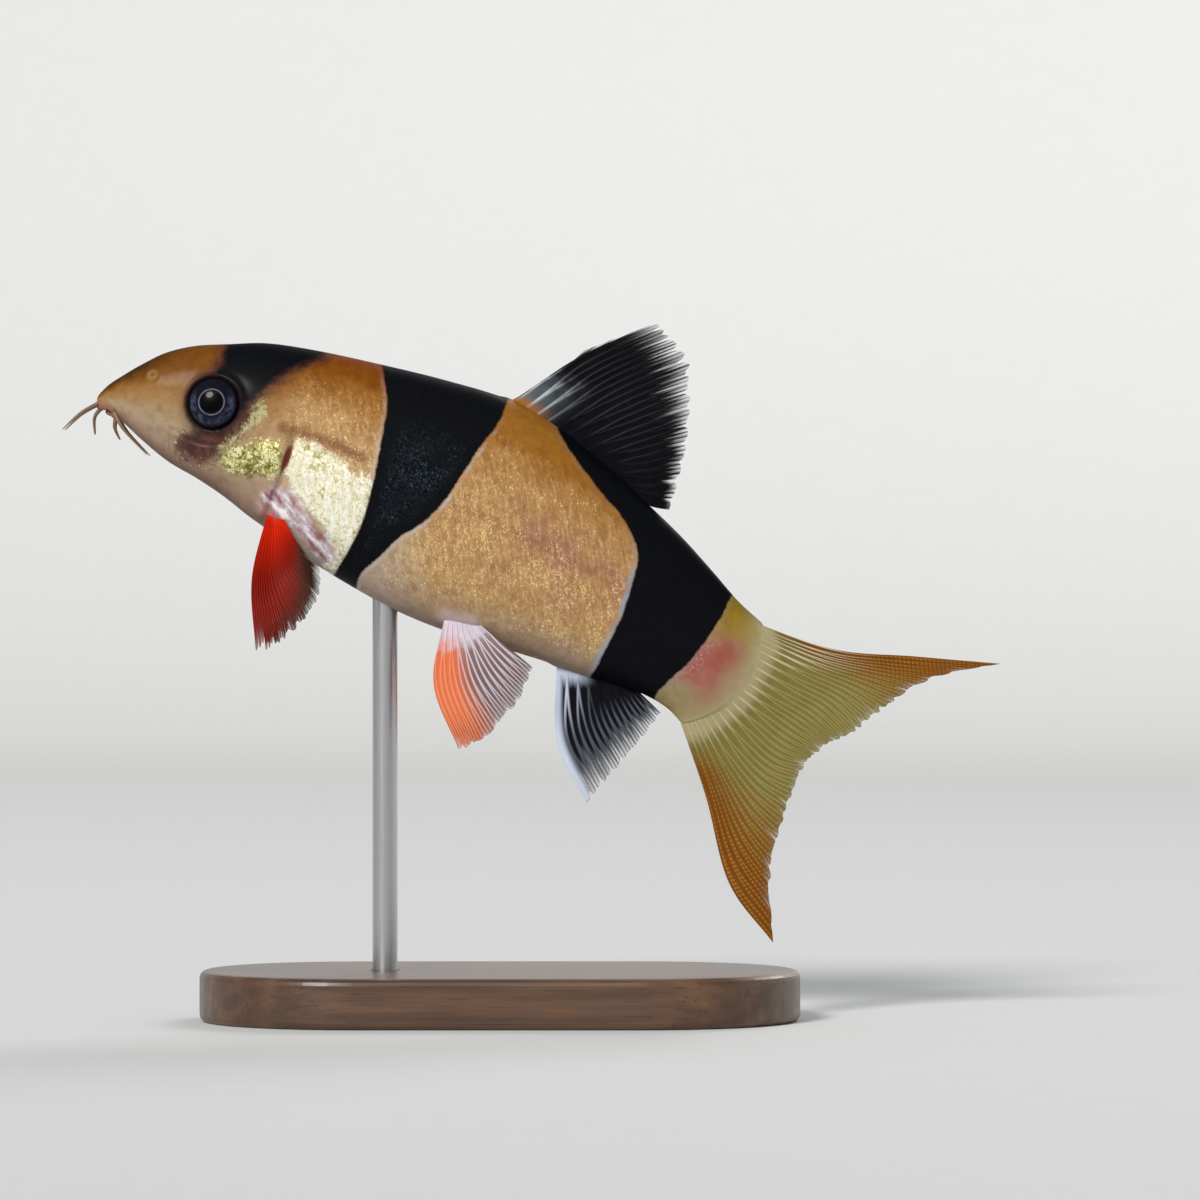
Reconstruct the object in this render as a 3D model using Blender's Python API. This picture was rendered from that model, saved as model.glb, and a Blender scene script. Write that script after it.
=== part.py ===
"""A young clown loach, life size, swimming nose-up on a plain display stand.

Frame: metres, +Z up, the snout towards -X and the fish's left side towards -Y. The origin is the middle of
the underside of the stand's base. Sizes below are in millimetres until they are multiplied by MM.
The body is one loft between a back line and a belly line, cut into head, torso and tail stem. Each fin is
a thin plate whose rays are ridges raised in its own surface, and it is trimmed to the body's surface.
"""

import math

import bmesh
import bpy
from mathutils import Matrix, Vector

MM = 0.001
GAP = 0.3 * MM  # between neighbouring nodes

# The body, from snout tip to tail base: back line (x, z), belly line (x, z), half width, and the level of
# the widest place as a share of the height.
STATIONS = (
    ((-48.4, 74.3), (-48.4, 74.3), 0.0, 0.50),
    ((-48.2, 74.9), (-48.2, 73.8), 0.75, 0.48),
    ((-47.6, 75.6), (-47.5, 73.35), 1.30, 0.45),
    ((-46.7, 76.4), (-46.4, 72.6), 1.75, 0.42),
    ((-45.3, 77.3), (-45.0, 71.5), 2.25, 0.41),
    ((-43.1, 78.6), (-42.8, 69.45), 2.90, 0.42),
    ((-40.0, 80.1), (-39.8, 67.0), 3.65, 0.43),
    ((-36.5, 80.9), (-36.4, 65.0), 4.35, 0.44),
    ((-32.6, 81.1), (-33.1, 62.8), 5.00, 0.44),
    ((-27.8, 81.2), (-29.3, 59.9), 5.70, 0.45),
    ((-21.8, 80.3), (-24.6, 56.3), 6.45, 0.46),
    ((-14.4, 78.7), (-18.6, 52.5), 6.95, 0.47),
    ((-6.6, 76.8), (-12.2, 49.0), 7.00, 0.48),
    ((1.1, 74.4), (-6.0, 46.5), 6.70, 0.49),
    ((7.2, 70.8), (0.0, 44.7), 6.05, 0.50),
    ((12.2, 66.8), (5.5, 43.0), 5.20, 0.50),
    ((17.0, 62.6), (10.6, 41.3), 4.30, 0.50),
    ((21.6, 58.2), (14.9, 40.0), 3.50, 0.50),
    ((25.4, 54.0), (18.0, 38.7), 2.80, 0.50),
    ((28.6, 50.3), (20.2, 37.3), 2.15, 0.50),
    ((31.3, 47.8), (21.8, 35.6), 1.55, 0.50),
)
TAIL_BASE = len(STATIONS) - 1.0
TAIL_CUT = 17.35  # station where the tail stem begins, just behind the dorsal and anal fins
BACK_ROUNDNESS = 0.97  # below 1 the section is boxier than an ellipse
BELLY_ROUNDNESS = 0.82
SIDE_COLUMNS = 32
HEAD_ROWS = 28
TORSO_ROWS = 22
STEM_ROWS = 8

# The gill opening, seen from the side: three points (x, z) that its line passes through
GILL_TOP = (-24.0, 80.6)
GILL_MIDDLE = (-25.3, 67.6)
GILL_FOOT = (-28.6, 59.4)
GILL_STATIONS = (8.0, 11.0)  # the stations that it lies between
GILL_COVER_RISE = 0.55
GILL_COVER_FRONT = -35.0
GILL_COVER_LEVELS = (58.5, 61.5, 68.0, 72.5)  # fades in from below and out above

# The fleshy end of the tail stem is rounded: its middle reaches this far behind its edges
STEM_END_BULGE = 2.6
STEM_BULGE_START = TAIL_CUT + 0.5

# The body sways sideways behind SWAY_START, by SWAY_REACH at the tail fin's tip
SWAY_START = -5.0
SWAY_END = 60.0
SWAY_REACH = 4.5

EYE_CENTRE = (-34.2, 73.9)
EYE_RADIUS = 3.1
EYE_HALF_DEPTH = 1.65
EYE_SUNK = 0.62  # how far the eye's middle lies under the skin
EYE_SEGMENTS = 24
EYE_RINGS = 10
ORBIT_RIM = 0.34
ORBIT_RIM_SUNK = 0.12

NOSTRIL_CENTRE = (-41.5, 77.3)
NOSTRIL_RADIUS = 0.58
NOSTRIL_RIM = 0.26
NOSTRIL_PIT_RADIUS = 0.40
NOSTRIL_PIT_DEPTH = 0.9
NOSTRIL_RIM_RISE = 0.1
NOSTRIL_SEGMENTS = 12
NOSTRIL_PIT_SEGMENTS = 10
NOSTRIL_PIT_RINGS = 6

# The mouth lies on the underside of the snout, in a plane that slopes down to the rear
MOUTH_CENTRE = (-46.95, 73.15)
MOUTH_SLOPE = math.radians(-38)
UPPER_LIP = dict(reach=1.12, half_width=1.45, thickness=0.48, back=0.05)
LOWER_LIP = dict(reach=0.55, half_width=0.98, thickness=0.46, back=0.72)
LIP_SWEEP = math.radians(105)
LIP_POINTS = 11
LIP_END_SHARE = 0.55  # a lip's thickness at the corners of the mouth, as a share of that in the middle
MOUTH_LINE = dict(reach=0.80, half_width=1.25, thickness=0.17, back=0.30)
MOUTH_CUT_RADIUS = 0.27

# The groove of the spine under the eye, seen from the side
SPINE_GROOVE = ((-39.2, 70.9), (-37.0, 69.5), (-34.6, 68.9), (-32.4, 69.3))
SPINE_GROOVE_RADIUS = 0.22
SPINE_GROOVE_POINTS = 9

# Barbels
BARBEL_ROOT_RADIUS = 0.36
BARBEL_TIP_RADIUS = 0.15
BARBEL_POINTS = 7

# Fins
MEMBRANE = 0.26  # half thickness between the rays
RAY_RIDGE = 0.17  # how far a ray stands out of each face
FIN_EDGE = 0.14  # half thickness at the tips
ROOT_DEPTH = 1.0  # how far a fin's root reaches under the skin before it is trimmed
RAY_FOOT = 0.28  # a ray's half width, as a share of the space between two rays
ROOT_TAPER = 0.18

# Stand
BASE_LENGTH = 72.0
BASE_WIDTH = 40.0
BASE_THICKNESS = 6.0
BASE_CORNER = 19.0
BASE_EDGE = 0.8
BASE_CORNER_STEPS = 10
ROD_RADIUS = 1.5
ROD_X = -13.8
ROD_SEGMENTS = 24
SOCKET_CLEARANCE = 0.3
SOCKET_DEPTH = 3.5
BODY_SOCKET_DEPTH = 3.0

SMOOTH_ANGLE = math.radians(40)  # edges that turn more than this are drawn sharp
HALVINGS = 40  # steps of each search for a place on the body

# Colour, roughness and how metallic
COLOURS = {
    "skin": ((0.72, 0.42, 0.13, 1), 0.35, 0.0),
    "eye": ((0.01, 0.01, 0.02, 1), 0.08, 0.0),
    "barbel": ((0.48, 0.33, 0.18, 1), 0.4, 0.0),
    "dark_fin": ((0.02, 0.02, 0.03, 1), 0.4, 0.0),
    "red_fin": ((0.80, 0.10, 0.02, 1), 0.4, 0.0),
    "pelvic_fin": ((0.85, 0.35, 0.20, 1), 0.4, 0.0),
    "tail_fin": ((0.70, 0.28, 0.05, 1), 0.4, 0.0),
    "wood": ((0.30, 0.18, 0.10, 1), 0.5, 0.0),
    "steel": ((0.62, 0.62, 0.64, 1), 0.3, 1.0),
}


def clear_scene():
    for obj in list(bpy.data.objects):
        bpy.data.objects.remove(obj)


def smooth_step(low, high, value):
    share = min(1.0, max(0.0, (value - low) / (high - low)))
    return share * share * (3 - 2 * share)


def through(values, place):
    """A smooth curve through values, which lie at whole numbers of place. Values are numbers or vectors."""
    last = len(values) - 1
    place = min(max(place, 0.0), float(last))
    index = min(int(place), last - 1)
    share = place - index
    before = values[index - 1] if index else values[0] * 2 - values[1]
    after = values[index + 2] if index + 2 <= last else values[last] * 2 - values[last - 1]
    start, end = values[index], values[index + 1]
    return (
        start * 2
        + (end - before) * share
        + (before * 2 - start * 5 + end * 4 - after) * share**2
        + (start * 3 - before - end * 3 + after) * share**3
    ) * 0.5


BACK_LINE = [Vector(station[0]) for station in STATIONS]
BELLY_LINE = [Vector(station[1]) for station in STATIONS]
HALF_WIDTHS = [station[2] for station in STATIONS]
WIDEST_LEVELS = [station[3] for station in STATIONS]


def gill_line(z):
    """x of the gill opening at the level z: the parabola through its three named points."""
    total = 0.0
    points = (GILL_TOP, GILL_MIDDLE, GILL_FOOT)
    for x, level in points:
        term = x
        for _, other in points:
            if other != level:
                term *= (z - other) / (level - other)
        total += term
    return total


def sway(x):
    share = max(0.0, (x - SWAY_START) / (SWAY_END - SWAY_START))
    return SWAY_REACH * share**2


def swayed(point):
    return Vector((point[0], point[1] + sway(point[0]), point[2]))


def gill_cover(x, z):
    """How far the gill cover stands out of the head at a place seen from the side."""
    low, full, fading, high = GILL_COVER_LEVELS
    level = smooth_step(low, full, z) * (1 - smooth_step(fading, high, z))
    return GILL_COVER_RISE * level * smooth_step(GILL_COVER_FRONT, gill_line(z), x)


def body_point(place, turn, rise=None):
    """A point of the skin. turn is 0 on the back, a quarter turn on the left side, a half on the belly."""
    back, belly = through(BACK_LINE, place), through(BELLY_LINE, place)
    width = max(0.0, through(HALF_WIDTHS, place))
    level = through(WIDEST_LEVELS, place)
    up, side = math.cos(turn), math.sin(turn)
    roundness = BACK_ROUNDNESS if up > 0 else BELLY_ROUNDNESS
    across = math.copysign(abs(side) ** roundness, side)
    if up > 0:
        height = level + (1 - level) * up**roundness
    else:
        height = level - level * abs(up) ** roundness
    flat = belly.lerp(back, height)
    point = Vector((flat.x, -width * across, flat.y))
    if rise and width:
        middle = belly.lerp(back, level)
        outward = (point - Vector((middle.x, 0, middle.y))).normalized()
        point += outward * rise(point.x, point.z) * abs(side) ** 0.5
    rearward = (belly - back).orthogonal().normalized()
    bulge = STEM_END_BULGE * smooth_step(STEM_BULGE_START, TAIL_BASE, place) * side**2
    return swayed(point + Vector((rearward.x, 0, rearward.y)) * bulge)


def place_at(x, turn, low, high, line):
    """The station where the skin at this turn crosses a line x = line(z), moved by x."""
    for _ in range(HALVINGS):
        middle = (low + high) / 2
        point = body_point(middle, turn)
        if point.x < line(point.z) + x:
            low = middle
        else:
            high = middle
    return (low + high) / 2


def side_of_body(x, z):
    """The skin's half width at a place seen from the side."""
    low, high = 0.2, TAIL_BASE
    for _ in range(HALVINGS):
        middle = (low + high) / 2
        back, belly = through(BACK_LINE, middle), through(BELLY_LINE, middle)
        along = back - belly
        if along.x * (z - belly.y) - along.y * (x - belly.x) < 0:
            low = middle
        else:
            high = middle
    back, belly = through(BACK_LINE, low), through(BELLY_LINE, low)
    height = (z - belly.y) / (back.y - belly.y)
    level = through(WIDEST_LEVELS, low)
    if height > level:
        up = ((height - level) / (1 - level)) ** (1 / BACK_ROUNDNESS)
        roundness = BACK_ROUNDNESS
    else:
        up = ((level - height) / level) ** (1 / BELLY_ROUNDNESS)
        roundness = BELLY_ROUNDNESS
    return through(HALF_WIDTHS, low) * max(0.0, 1 - min(1.0, up) ** 2) ** (roundness / 2)


def skin_frame(x, z):
    """A place on the left side of the skin, and the outward normal there."""
    step = 0.2  # far enough for a steady slope, near enough to be local
    here = Vector((x, -side_of_body(x, z), z))
    ahead = Vector((x + step, -side_of_body(x + step, z), z))
    above = Vector((x, -side_of_body(x, z + step), z + step))
    normal = (ahead - here).cross(above - here).normalized()
    return here, normal


def new_object(name, mesh, collection, colour=None):
    obj = bpy.data.objects.new(name, mesh)
    collection.objects.link(obj)
    if colour:
        obj.data.materials.append(material(colour))
    return obj


def empty(name, place, collection):
    """An empty that a group of parts hangs from, at a place in millimetres."""
    made = bpy.data.objects.new(name, None)
    made.empty_display_size = ROD_RADIUS * MM
    made.location = place * MM
    collection.objects.link(made)
    return made


def hang(obj, parent, origin=None):
    """Parents a part to an empty. origin is the part's new origin, in millimetres; its shape stays put."""
    if origin:
        obj.data.transform(Matrix.Translation(-origin * MM))
        obj.location = origin * MM
    obj.location -= parent.location
    obj.parent = parent
    return obj


def material(name):
    if name in bpy.data.materials:
        return bpy.data.materials[name]
    made = bpy.data.materials.new(name)
    made.use_nodes = True
    shader = made.node_tree.nodes["Principled BSDF"]
    colour, roughness, metallic = COLOURS[name]
    shader.inputs["Base Color"].default_value = colour
    shader.inputs["Roughness"].default_value = roughness
    shader.inputs["Metallic"].default_value = metallic
    return made


def loft(name, rings, collection, colour=None, pole=None):
    """A closed mesh through rings of points, in millimetres. pole closes the first end at one point."""
    work = bmesh.new()
    rows = [[work.verts.new(point * MM) for point in ring] for ring in rings]
    count = len(rows[0])
    for near, far in zip(rows, rows[1:]):
        for i in range(count):
            j = (i + 1) % count
            work.faces.new((near[i], near[j], far[j], far[i]))
    ends = [(rows[-1], sum(rings[-1], Vector()) / count)]
    ends.append((rows[0][::-1], pole or sum(rings[0], Vector()) / count))
    for row, centre in ends:
        tip = work.verts.new(centre * MM)
        for i in range(count):
            work.faces.new((row[i], row[(i + 1) % count], tip))
    return finish_mesh(name, work, collection, colour)


def finish_mesh(name, work, collection, colour=None):
    bmesh.ops.recalc_face_normals(work, faces=work.faces)
    mesh = bpy.data.meshes.new(name)
    work.to_mesh(mesh)
    work.free()
    mesh.shade_smooth()
    mesh.set_sharp_from_angle(angle=SMOOTH_ANGLE)
    return new_object(name, mesh, collection, colour)


def turns():
    return [2 * math.pi * i / SIDE_COLUMNS for i in range(SIDE_COLUMNS)]


def head_rings():
    """Rings from the snout back to the gill opening, each tilting a little more towards its line."""
    ends = [place_at(0, turn, *GILL_STATIONS, gill_line) for turn in turns()]
    return [
        [body_point(end * row / HEAD_ROWS, turn, gill_cover) for end, turn in zip(ends, turns())]
        for row in range(1, HEAD_ROWS + 1)
    ]


def torso_rings():
    starts = [place_at(GAP / MM, turn, *GILL_STATIONS, gill_line) for turn in turns()]
    return [
        [
            body_point(start + (TAIL_CUT - start) * row / TORSO_ROWS, turn)
            for start, turn in zip(starts, turns())
        ]
        for row in range(TORSO_ROWS + 1)
    ]


def stem_rings(start):
    return [
        [body_point(start + (TAIL_BASE - start) * row / STEM_ROWS, turn) for turn in turns()]
        for row in range(STEM_ROWS + 1)
    ]


def side_cut_gap():
    """GAP as a step along the stations at the tail cut."""
    step = 0.01
    moved = body_point(TAIL_CUT + step, math.pi / 2) - body_point(TAIL_CUT, math.pi / 2)
    return step * (GAP / MM) / moved.length


def body_clearance(cutters):
    """The whole body swollen by the gap. It trims the fins' roots."""
    rings = head_rings() + torso_rings()[1:] + stem_rings(TAIL_CUT)[1:]
    swollen = loft("body_clearance", rings, cutters, pole=body_point(0, 0))
    work = bmesh.new()
    work.from_mesh(swollen.data)
    work.normal_update()
    moves = [(vert, vert.normal.copy()) for vert in work.verts]
    for vert, normal in moves:
        vert.co += normal * GAP
    work.to_mesh(swollen.data)
    work.free()
    return swollen


def as_cutter(obj):
    obj.hide_render = True
    obj.display_type = "WIRE"
    return obj


def boolean(obj, operation, other, solver="EXACT"):
    """Adds a Boolean with one object or a whole collection."""
    modifier = obj.modifiers.new(operation.lower(), "BOOLEAN")
    modifier.operation = operation
    modifier.solver = solver
    if isinstance(other, bpy.types.Collection):
        modifier.operand_type = "COLLECTION"
        modifier.collection = other
    else:
        modifier.object = other
    return modifier


def apply_modifiers(obj):
    """Makes the evaluated mesh the object's own, keeping only its largest closed surface."""
    graph = bpy.context.evaluated_depsgraph_get()
    mesh = bpy.data.meshes.new_from_object(obj.evaluated_get(graph))
    obj.modifiers.clear()
    obj.data = mesh
    work = bmesh.new()
    work.from_mesh(mesh)
    keep_largest(work)
    work.to_mesh(mesh)
    work.free()
    mesh.set_sharp_from_angle(angle=SMOOTH_ANGLE)
    return obj


def keep_largest(work):
    left, shells = set(work.verts), []
    while left:
        shell, queue = set(), [left.pop()]
        while queue:
            vert = queue.pop()
            shell.add(vert)
            for edge in vert.link_edges:
                other = edge.other_vert(vert)
                if other in left:
                    left.discard(other)
                    queue.append(other)
        shells.append(shell)
    shells.sort(key=len, reverse=True)
    for shell in shells[1:]:
        bmesh.ops.delete(work, geom=list(shell), context="VERTS")


def closed_mesh_of(curve, collection):
    """A curve's evaluated shape as a bmesh, with its caps welded on. The curve's object is removed."""
    wire = bpy.data.objects.new(curve.name + "_wire", curve)
    collection.objects.link(wire)
    graph = bpy.context.evaluated_depsgraph_get()
    mesh = bpy.data.meshes.new_from_object(wire.evaluated_get(graph))
    bpy.data.objects.remove(wire)
    work = bmesh.new()
    work.from_mesh(mesh)
    bmesh.ops.remove_doubles(work, verts=work.verts, dist=1e-6)
    bpy.data.meshes.remove(mesh)
    return work


def tube(name, points, radii, collection, sides, colour=None, closed=False):
    """A round wire through points, in millimetres, with a radius at each, as a closed mesh."""
    curve = bpy.data.curves.new(name, "CURVE")
    curve.dimensions = "3D"
    curve.bevel_depth = MM
    curve.bevel_resolution = sides
    curve.use_fill_caps = True
    spline = curve.splines.new("POLY")
    spline.points.add(len(points) - 1)
    spline.use_cyclic_u = closed
    for knot, point, radius in zip(spline.points, points, radii):
        knot.co = (*(point * MM), 1)
        knot.radius = radius
    return finish_mesh(name, closed_mesh_of(curve, collection), collection, colour)


def mirrored(point):
    return Vector((point[0], -point[1], point[2]))


def ellipsoid(name, centre, normal, radius, depth, collection, segments, rings, colour=None):
    """A flattened ball that faces along normal, placed by its location and rotation, in millimetres."""
    work = bmesh.new()
    bmesh.ops.create_uvsphere(work, u_segments=segments, v_segments=rings, radius=1)
    bmesh.ops.scale(work, vec=Vector((radius, radius, depth)) * MM, verts=work.verts)
    ball = finish_mesh(name, work, collection, colour)
    ball.location = centre * MM
    ball.rotation_mode = "QUATERNION"
    ball.rotation_quaternion = normal.to_track_quat("Z", "Y")
    return ball


def ring_of_points(centre, normal, radius, count, tuck=None):
    """Points round a circle. tuck pulls each onto the skin."""
    turn = normal.to_track_quat("Z", "Y").to_matrix()
    around = [
        centre + turn @ Vector((math.cos(a), math.sin(a), 0)) * radius
        for a in (2 * math.pi * i / count for i in range(count))
    ]
    return [tuck(point) for point in around] if tuck else around


def both_sides(build):
    """Runs build for the left side and for the right, where points and directions are mirrored."""
    return [build("left", lambda v: Vector(v)), build("right", mirrored)]


def eye_place():
    skin, normal = skin_frame(*EYE_CENTRE)
    return skin - normal * EYE_SUNK, normal


def eye_balls(name, swell, collection, colour=None):
    """Both eyes, or with a swell the hollows that they sit in."""
    centre, normal = eye_place()
    radius, depth = EYE_RADIUS + swell, EYE_HALF_DEPTH + swell

    def build(side, flip):
        place, facing = flip(centre), flip(normal)
        return ellipsoid(
            f"{name}_{side}", place, facing, radius, depth, collection, EYE_SEGMENTS, EYE_RINGS, colour
        )

    return both_sides(build)


def eye_sockets(cutters):
    return [as_cutter(ball) for ball in eye_balls("socket", GAP / MM, cutters)]


def on_skin(point):
    """The left side's skin at a point's place seen from the side."""
    return Vector((point.x, -side_of_body(point.x, point.z), point.z))


def orbit_rims(collection):
    """The fold of skin round each eye."""
    skin, normal = skin_frame(*EYE_CENTRE)
    points = ring_of_points(skin, normal, EYE_RADIUS + ORBIT_RIM, EYE_SEGMENTS, on_skin)
    points = [point - normal * ORBIT_RIM_SUNK for point in points]
    radii = [ORBIT_RIM] * EYE_SEGMENTS

    def build(side, flip):
        return tube(f"rim_{side}", [flip(p) for p in points], radii, collection, 1, closed=True)

    return both_sides(build)


def nostril_rims(collection):
    skin, normal = skin_frame(*NOSTRIL_CENTRE)
    points = ring_of_points(skin + normal * NOSTRIL_RIM_RISE, normal, NOSTRIL_RADIUS, NOSTRIL_SEGMENTS)
    radii = [NOSTRIL_RIM] * NOSTRIL_SEGMENTS

    def build(side, flip):
        return tube(f"nostril_{side}", [flip(p) for p in points], radii, collection, 1, closed=True)

    return both_sides(build)


def nostril_pits(cutters):
    skin, normal = skin_frame(*NOSTRIL_CENTRE)
    size = NOSTRIL_PIT_RADIUS, NOSTRIL_PIT_DEPTH
    grid = NOSTRIL_PIT_SEGMENTS, NOSTRIL_PIT_RINGS

    def build(side, flip):
        return as_cutter(ellipsoid(f"pit_{side}", flip(skin), flip(normal), *size, cutters, *grid))

    return both_sides(build)


def mouth_frame():
    """The mouth's middle, the way to the rear along it, and the way it faces."""
    rear = Vector((math.cos(MOUTH_SLOPE), 0, math.sin(MOUTH_SLOPE)))
    facing = Vector((rear.z, 0, -rear.x))
    return Vector((MOUTH_CENTRE[0], 0, MOUTH_CENTRE[1])), rear, facing


def lip_points(lip, count):
    centre, rear, _ = mouth_frame()
    points = []
    for i in range(count):
        turn = -LIP_SWEEP + 2 * LIP_SWEEP * i / (count - 1)
        points.append(
            centre
            + rear * (lip["back"] - lip["reach"] * math.cos(turn))
            + Vector((0, lip["half_width"] * math.sin(turn), 0))
        )
    return points


def lips(collection, swell=0.0):
    """The two lips. swell makes them thicker, where they are cutters that keep the barbels clear."""
    made = []
    for name, lip in (("upper_lip", UPPER_LIP), ("lower_lip", LOWER_LIP)):
        swelling = [math.sin(math.pi * share) ** 0.5 for share in spread(LIP_POINTS)]
        shares = [LIP_END_SHARE + (1 - LIP_END_SHARE) * part for part in swelling]
        radii = [lip["thickness"] * share + swell for share in shares]
        made.append(tube(name, lip_points(lip, LIP_POINTS), radii, collection, 2))
    return made


def mouth_cut(cutters):
    """The line between the lips, cut a little below their middles."""
    _, _, facing = mouth_frame()
    points = [point + facing * MOUTH_LINE["thickness"] for point in lip_points(MOUTH_LINE, LIP_POINTS)]
    return as_cutter(tube("mouth_line", points, [MOUTH_CUT_RADIUS] * LIP_POINTS, cutters, 1))


def spine_grooves(cutters):
    """The groove under each eye, widest at its middle."""
    points, radii = [], []
    for share in spread(SPINE_GROOVE_POINTS):
        place = along_points(SPINE_GROOVE, share)
        points.append(on_skin(Vector((place.x, 0, place.y))))
        radii.append(SPINE_GROOVE_RADIUS * (1 + math.sin(math.pi * share)) / 2)

    def build(side, flip):
        return as_cutter(tube(f"spine_groove_{side}", [flip(p) for p in points], radii, cutters, 1))

    return both_sides(build)


def add_head(collection, cutters):
    head = loft("head", head_rings(), collection, "skin", pole=body_point(0, 0))
    pieces = bpy.data.collections.new("head_pieces")
    bpy.context.scene.collection.children.link(pieces)
    orbit_rims(pieces)
    nostril_rims(pieces)
    lips(pieces)
    boolean(head, "UNION", pieces, "MANIFOLD")
    apply_modifiers(head)
    for obj in list(pieces.objects):
        bpy.data.objects.remove(obj)
    bpy.data.collections.remove(pieces)
    hollows = eye_sockets(cutters) + nostril_pits(cutters)
    grooves = [mouth_cut(cutters)] + spine_grooves(cutters)
    for cutter in hollows + grooves:
        boolean(head, "DIFFERENCE", cutter)
    return apply_modifiers(head)


def add_torso(collection, cutters):
    torso = loft("torso", torso_rings(), collection, "skin")
    bottom, top = belly_at_rod() - BODY_SOCKET_DEPTH, rod_top() + GAP / MM
    socket = round_bar("body_socket", ROD_RADIUS + SOCKET_CLEARANCE, bottom, top, cutters)
    boolean(torso, "DIFFERENCE", as_cutter(socket))
    return apply_modifiers(torso)


def add_tail_stem(collection):
    return loft("tail_stem", stem_rings(TAIL_CUT + side_cut_gap()), collection, "skin")


# Each barbel from its root just under the skin, as (x, distance from the middle, z), to its tip
BARBELS = {
    "rostral_outer": ((-47.5, 0.85, 74.3), (-50.2, 1.5, 72.8), (-52.4, 1.9, 70.8)),
    "rostral_inner": ((-47.3, 0.35, 73.9), (-48.6, 0.55, 72.4), (-48.6, 0.7, 70.2)),
    "maxillary": ((-46.2, 1.75, 72.9), (-44.9, 2.35, 70.7), (-42.1, 2.6, 67.7)),
    "mandibular": ((-46.1, 0.60, 72.2), (-46.2, 0.75, 71.0), (-45.6, 0.85, 69.6)),
}


def add_barbels(collection):
    """The barbels, each with the place of its root."""
    taper = BARBEL_TIP_RADIUS - BARBEL_ROOT_RADIUS
    radii = [BARBEL_ROOT_RADIUS + taper * share for share in spread(BARBEL_POINTS)]
    made = []
    for name, knots in BARBELS.items():
        left = [mirrored(knot) for knot in knots]
        points = [along_points(left, share) for share in spread(BARBEL_POINTS)]

        def build(side, flip):
            line = [flip(p) for p in points]
            return tube(f"barbel_{name}_{side}", line, radii, collection, 2, "barbel"), line[0]

        made += both_sides(build)
    return made


def fin_columns(count):
    """Places across a fin, at each ray's crest and at its two feet."""
    places = []
    for ray in range(count - 1):
        places += [(ray, 0.0), (ray, RAY_FOOT), (ray, 1 - RAY_FOOT)]
    return places + [(count - 2, 1.0)]


def fin(name, rays, shape, collection, colour):
    """A fin from rays, each a list of points from root to tip, in millimetres. shape's notch is how far the
    edge falls back between rays, and taper where the thick root ends, as shares of the rays' length."""
    rows, notch, root_half = shape["rows"], shape["notch"], shape["root_half"]
    taper = shape.get("taper", ROOT_TAPER)
    columns = fin_columns(len(rays))
    middle = []
    for ray, share in columns:
        fall = 1 - notch * math.sin(math.pi * share)
        line = []
        for row in range(rows + 1):
            along = fall * row / rows
            one, other = along_points(rays[ray], along), along_points(rays[ray + 1], along)
            line.append(one.lerp(other, share))
        middle.append(line)
    halves = []
    for ray, share in columns:
        crest = 1.0 if share in (0.0, 1.0) else 0.0
        line = []
        for row in range(rows + 1):
            along = row / rows
            half = MEMBRANE + RAY_RIDGE * crest * (1 - 0.5 * along)
            half += (root_half - half) * (1 - smooth_step(0, taper, along))
            line.append(FIN_EDGE if row == rows else half)
        halves.append(line)
    return plate(name, middle, halves, collection, colour)


def plate(name, middle, halves, collection, colour):
    """A closed plate about a grid of points, half as thick each way as halves says."""
    work = bmesh.new()
    last_column, last_row = len(middle) - 1, len(middle[0]) - 1
    front, back = [], []
    for i, line in enumerate(middle):
        front_line, back_line = [], []
        for j, point in enumerate(line):
            across = middle[min(i + 1, last_column)][j] - middle[max(i - 1, 0)][j]
            along = line[min(j + 1, last_row)] - line[max(j - 1, 0)]
            normal = across.cross(along).normalized()
            front_line.append(work.verts.new(swayed(point + normal * halves[i][j]) * MM))
            back_line.append(work.verts.new(swayed(point - normal * halves[i][j]) * MM))
        front.append(front_line)
        back.append(back_line)
    for i in range(last_column):
        for j in range(last_row):
            for side in (front, back):
                corners = side[i][j], side[i + 1][j], side[i + 1][j + 1], side[i][j + 1]
                work.faces.new((corners[0], corners[1], corners[2]))
                work.faces.new((corners[0], corners[2], corners[3]))
    rim = [(i, 0) for i in range(last_column)] + [(last_column, j) for j in range(last_row)]
    rim += [(i, last_row) for i in range(last_column, 0, -1)] + [(0, j) for j in range(last_row, 0, -1)]
    for (i, j), (k, m) in zip(rim, rim[1:] + rim[:1]):
        work.faces.new((front[i][j], front[k][m], back[k][m]))
        work.faces.new((front[i][j], back[k][m], back[i][j]))
    return finish_mesh(name, work, collection, colour)


def seated(obj, *clearances):
    """Trims a root to what it grows from, leaving the gap."""
    for clearance in clearances:
        boolean(obj, "DIFFERENCE", clearance)
    return apply_modifiers(obj)


def flat(x, z, y=0.0):
    return Vector((x, y, z))


def spread(count):
    return [i / (count - 1) for i in range(count)]


def along_points(points, share):
    """A smooth curve through points, by share of the whole."""
    return through([Vector(p) for p in points], share * (len(points) - 1))


# Fins on the middle line: the base between two stations, the curves (x, z) through the rays' middles and
# tips, and the way into the body from the base
DORSAL = dict(
    rays=11,
    base=(13.0, 15.5),
    middles=((9.4, 79.5), (13.6, 76.6), (15.9, 72.2), (17.3, 67.2), (17.7, 61.8)),
    tips=((18.6, 83.5), (22.3, 80.2), (22.9, 74.6), (22.4, 68.2), (20.3, 61.2)),
    inward=(-0.3, 0, -1),
    root_half=0.75,
    notch=0.07,
    rows=8,
)
DORSAL_SPLINT = ((6.2, 77.0), (10.2, 80.4))  # middle and tip of the short ray at the front
DORSAL_SPLINT_ROOT = (-0.9, 0, 0.2)  # from the first full ray's root

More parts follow.
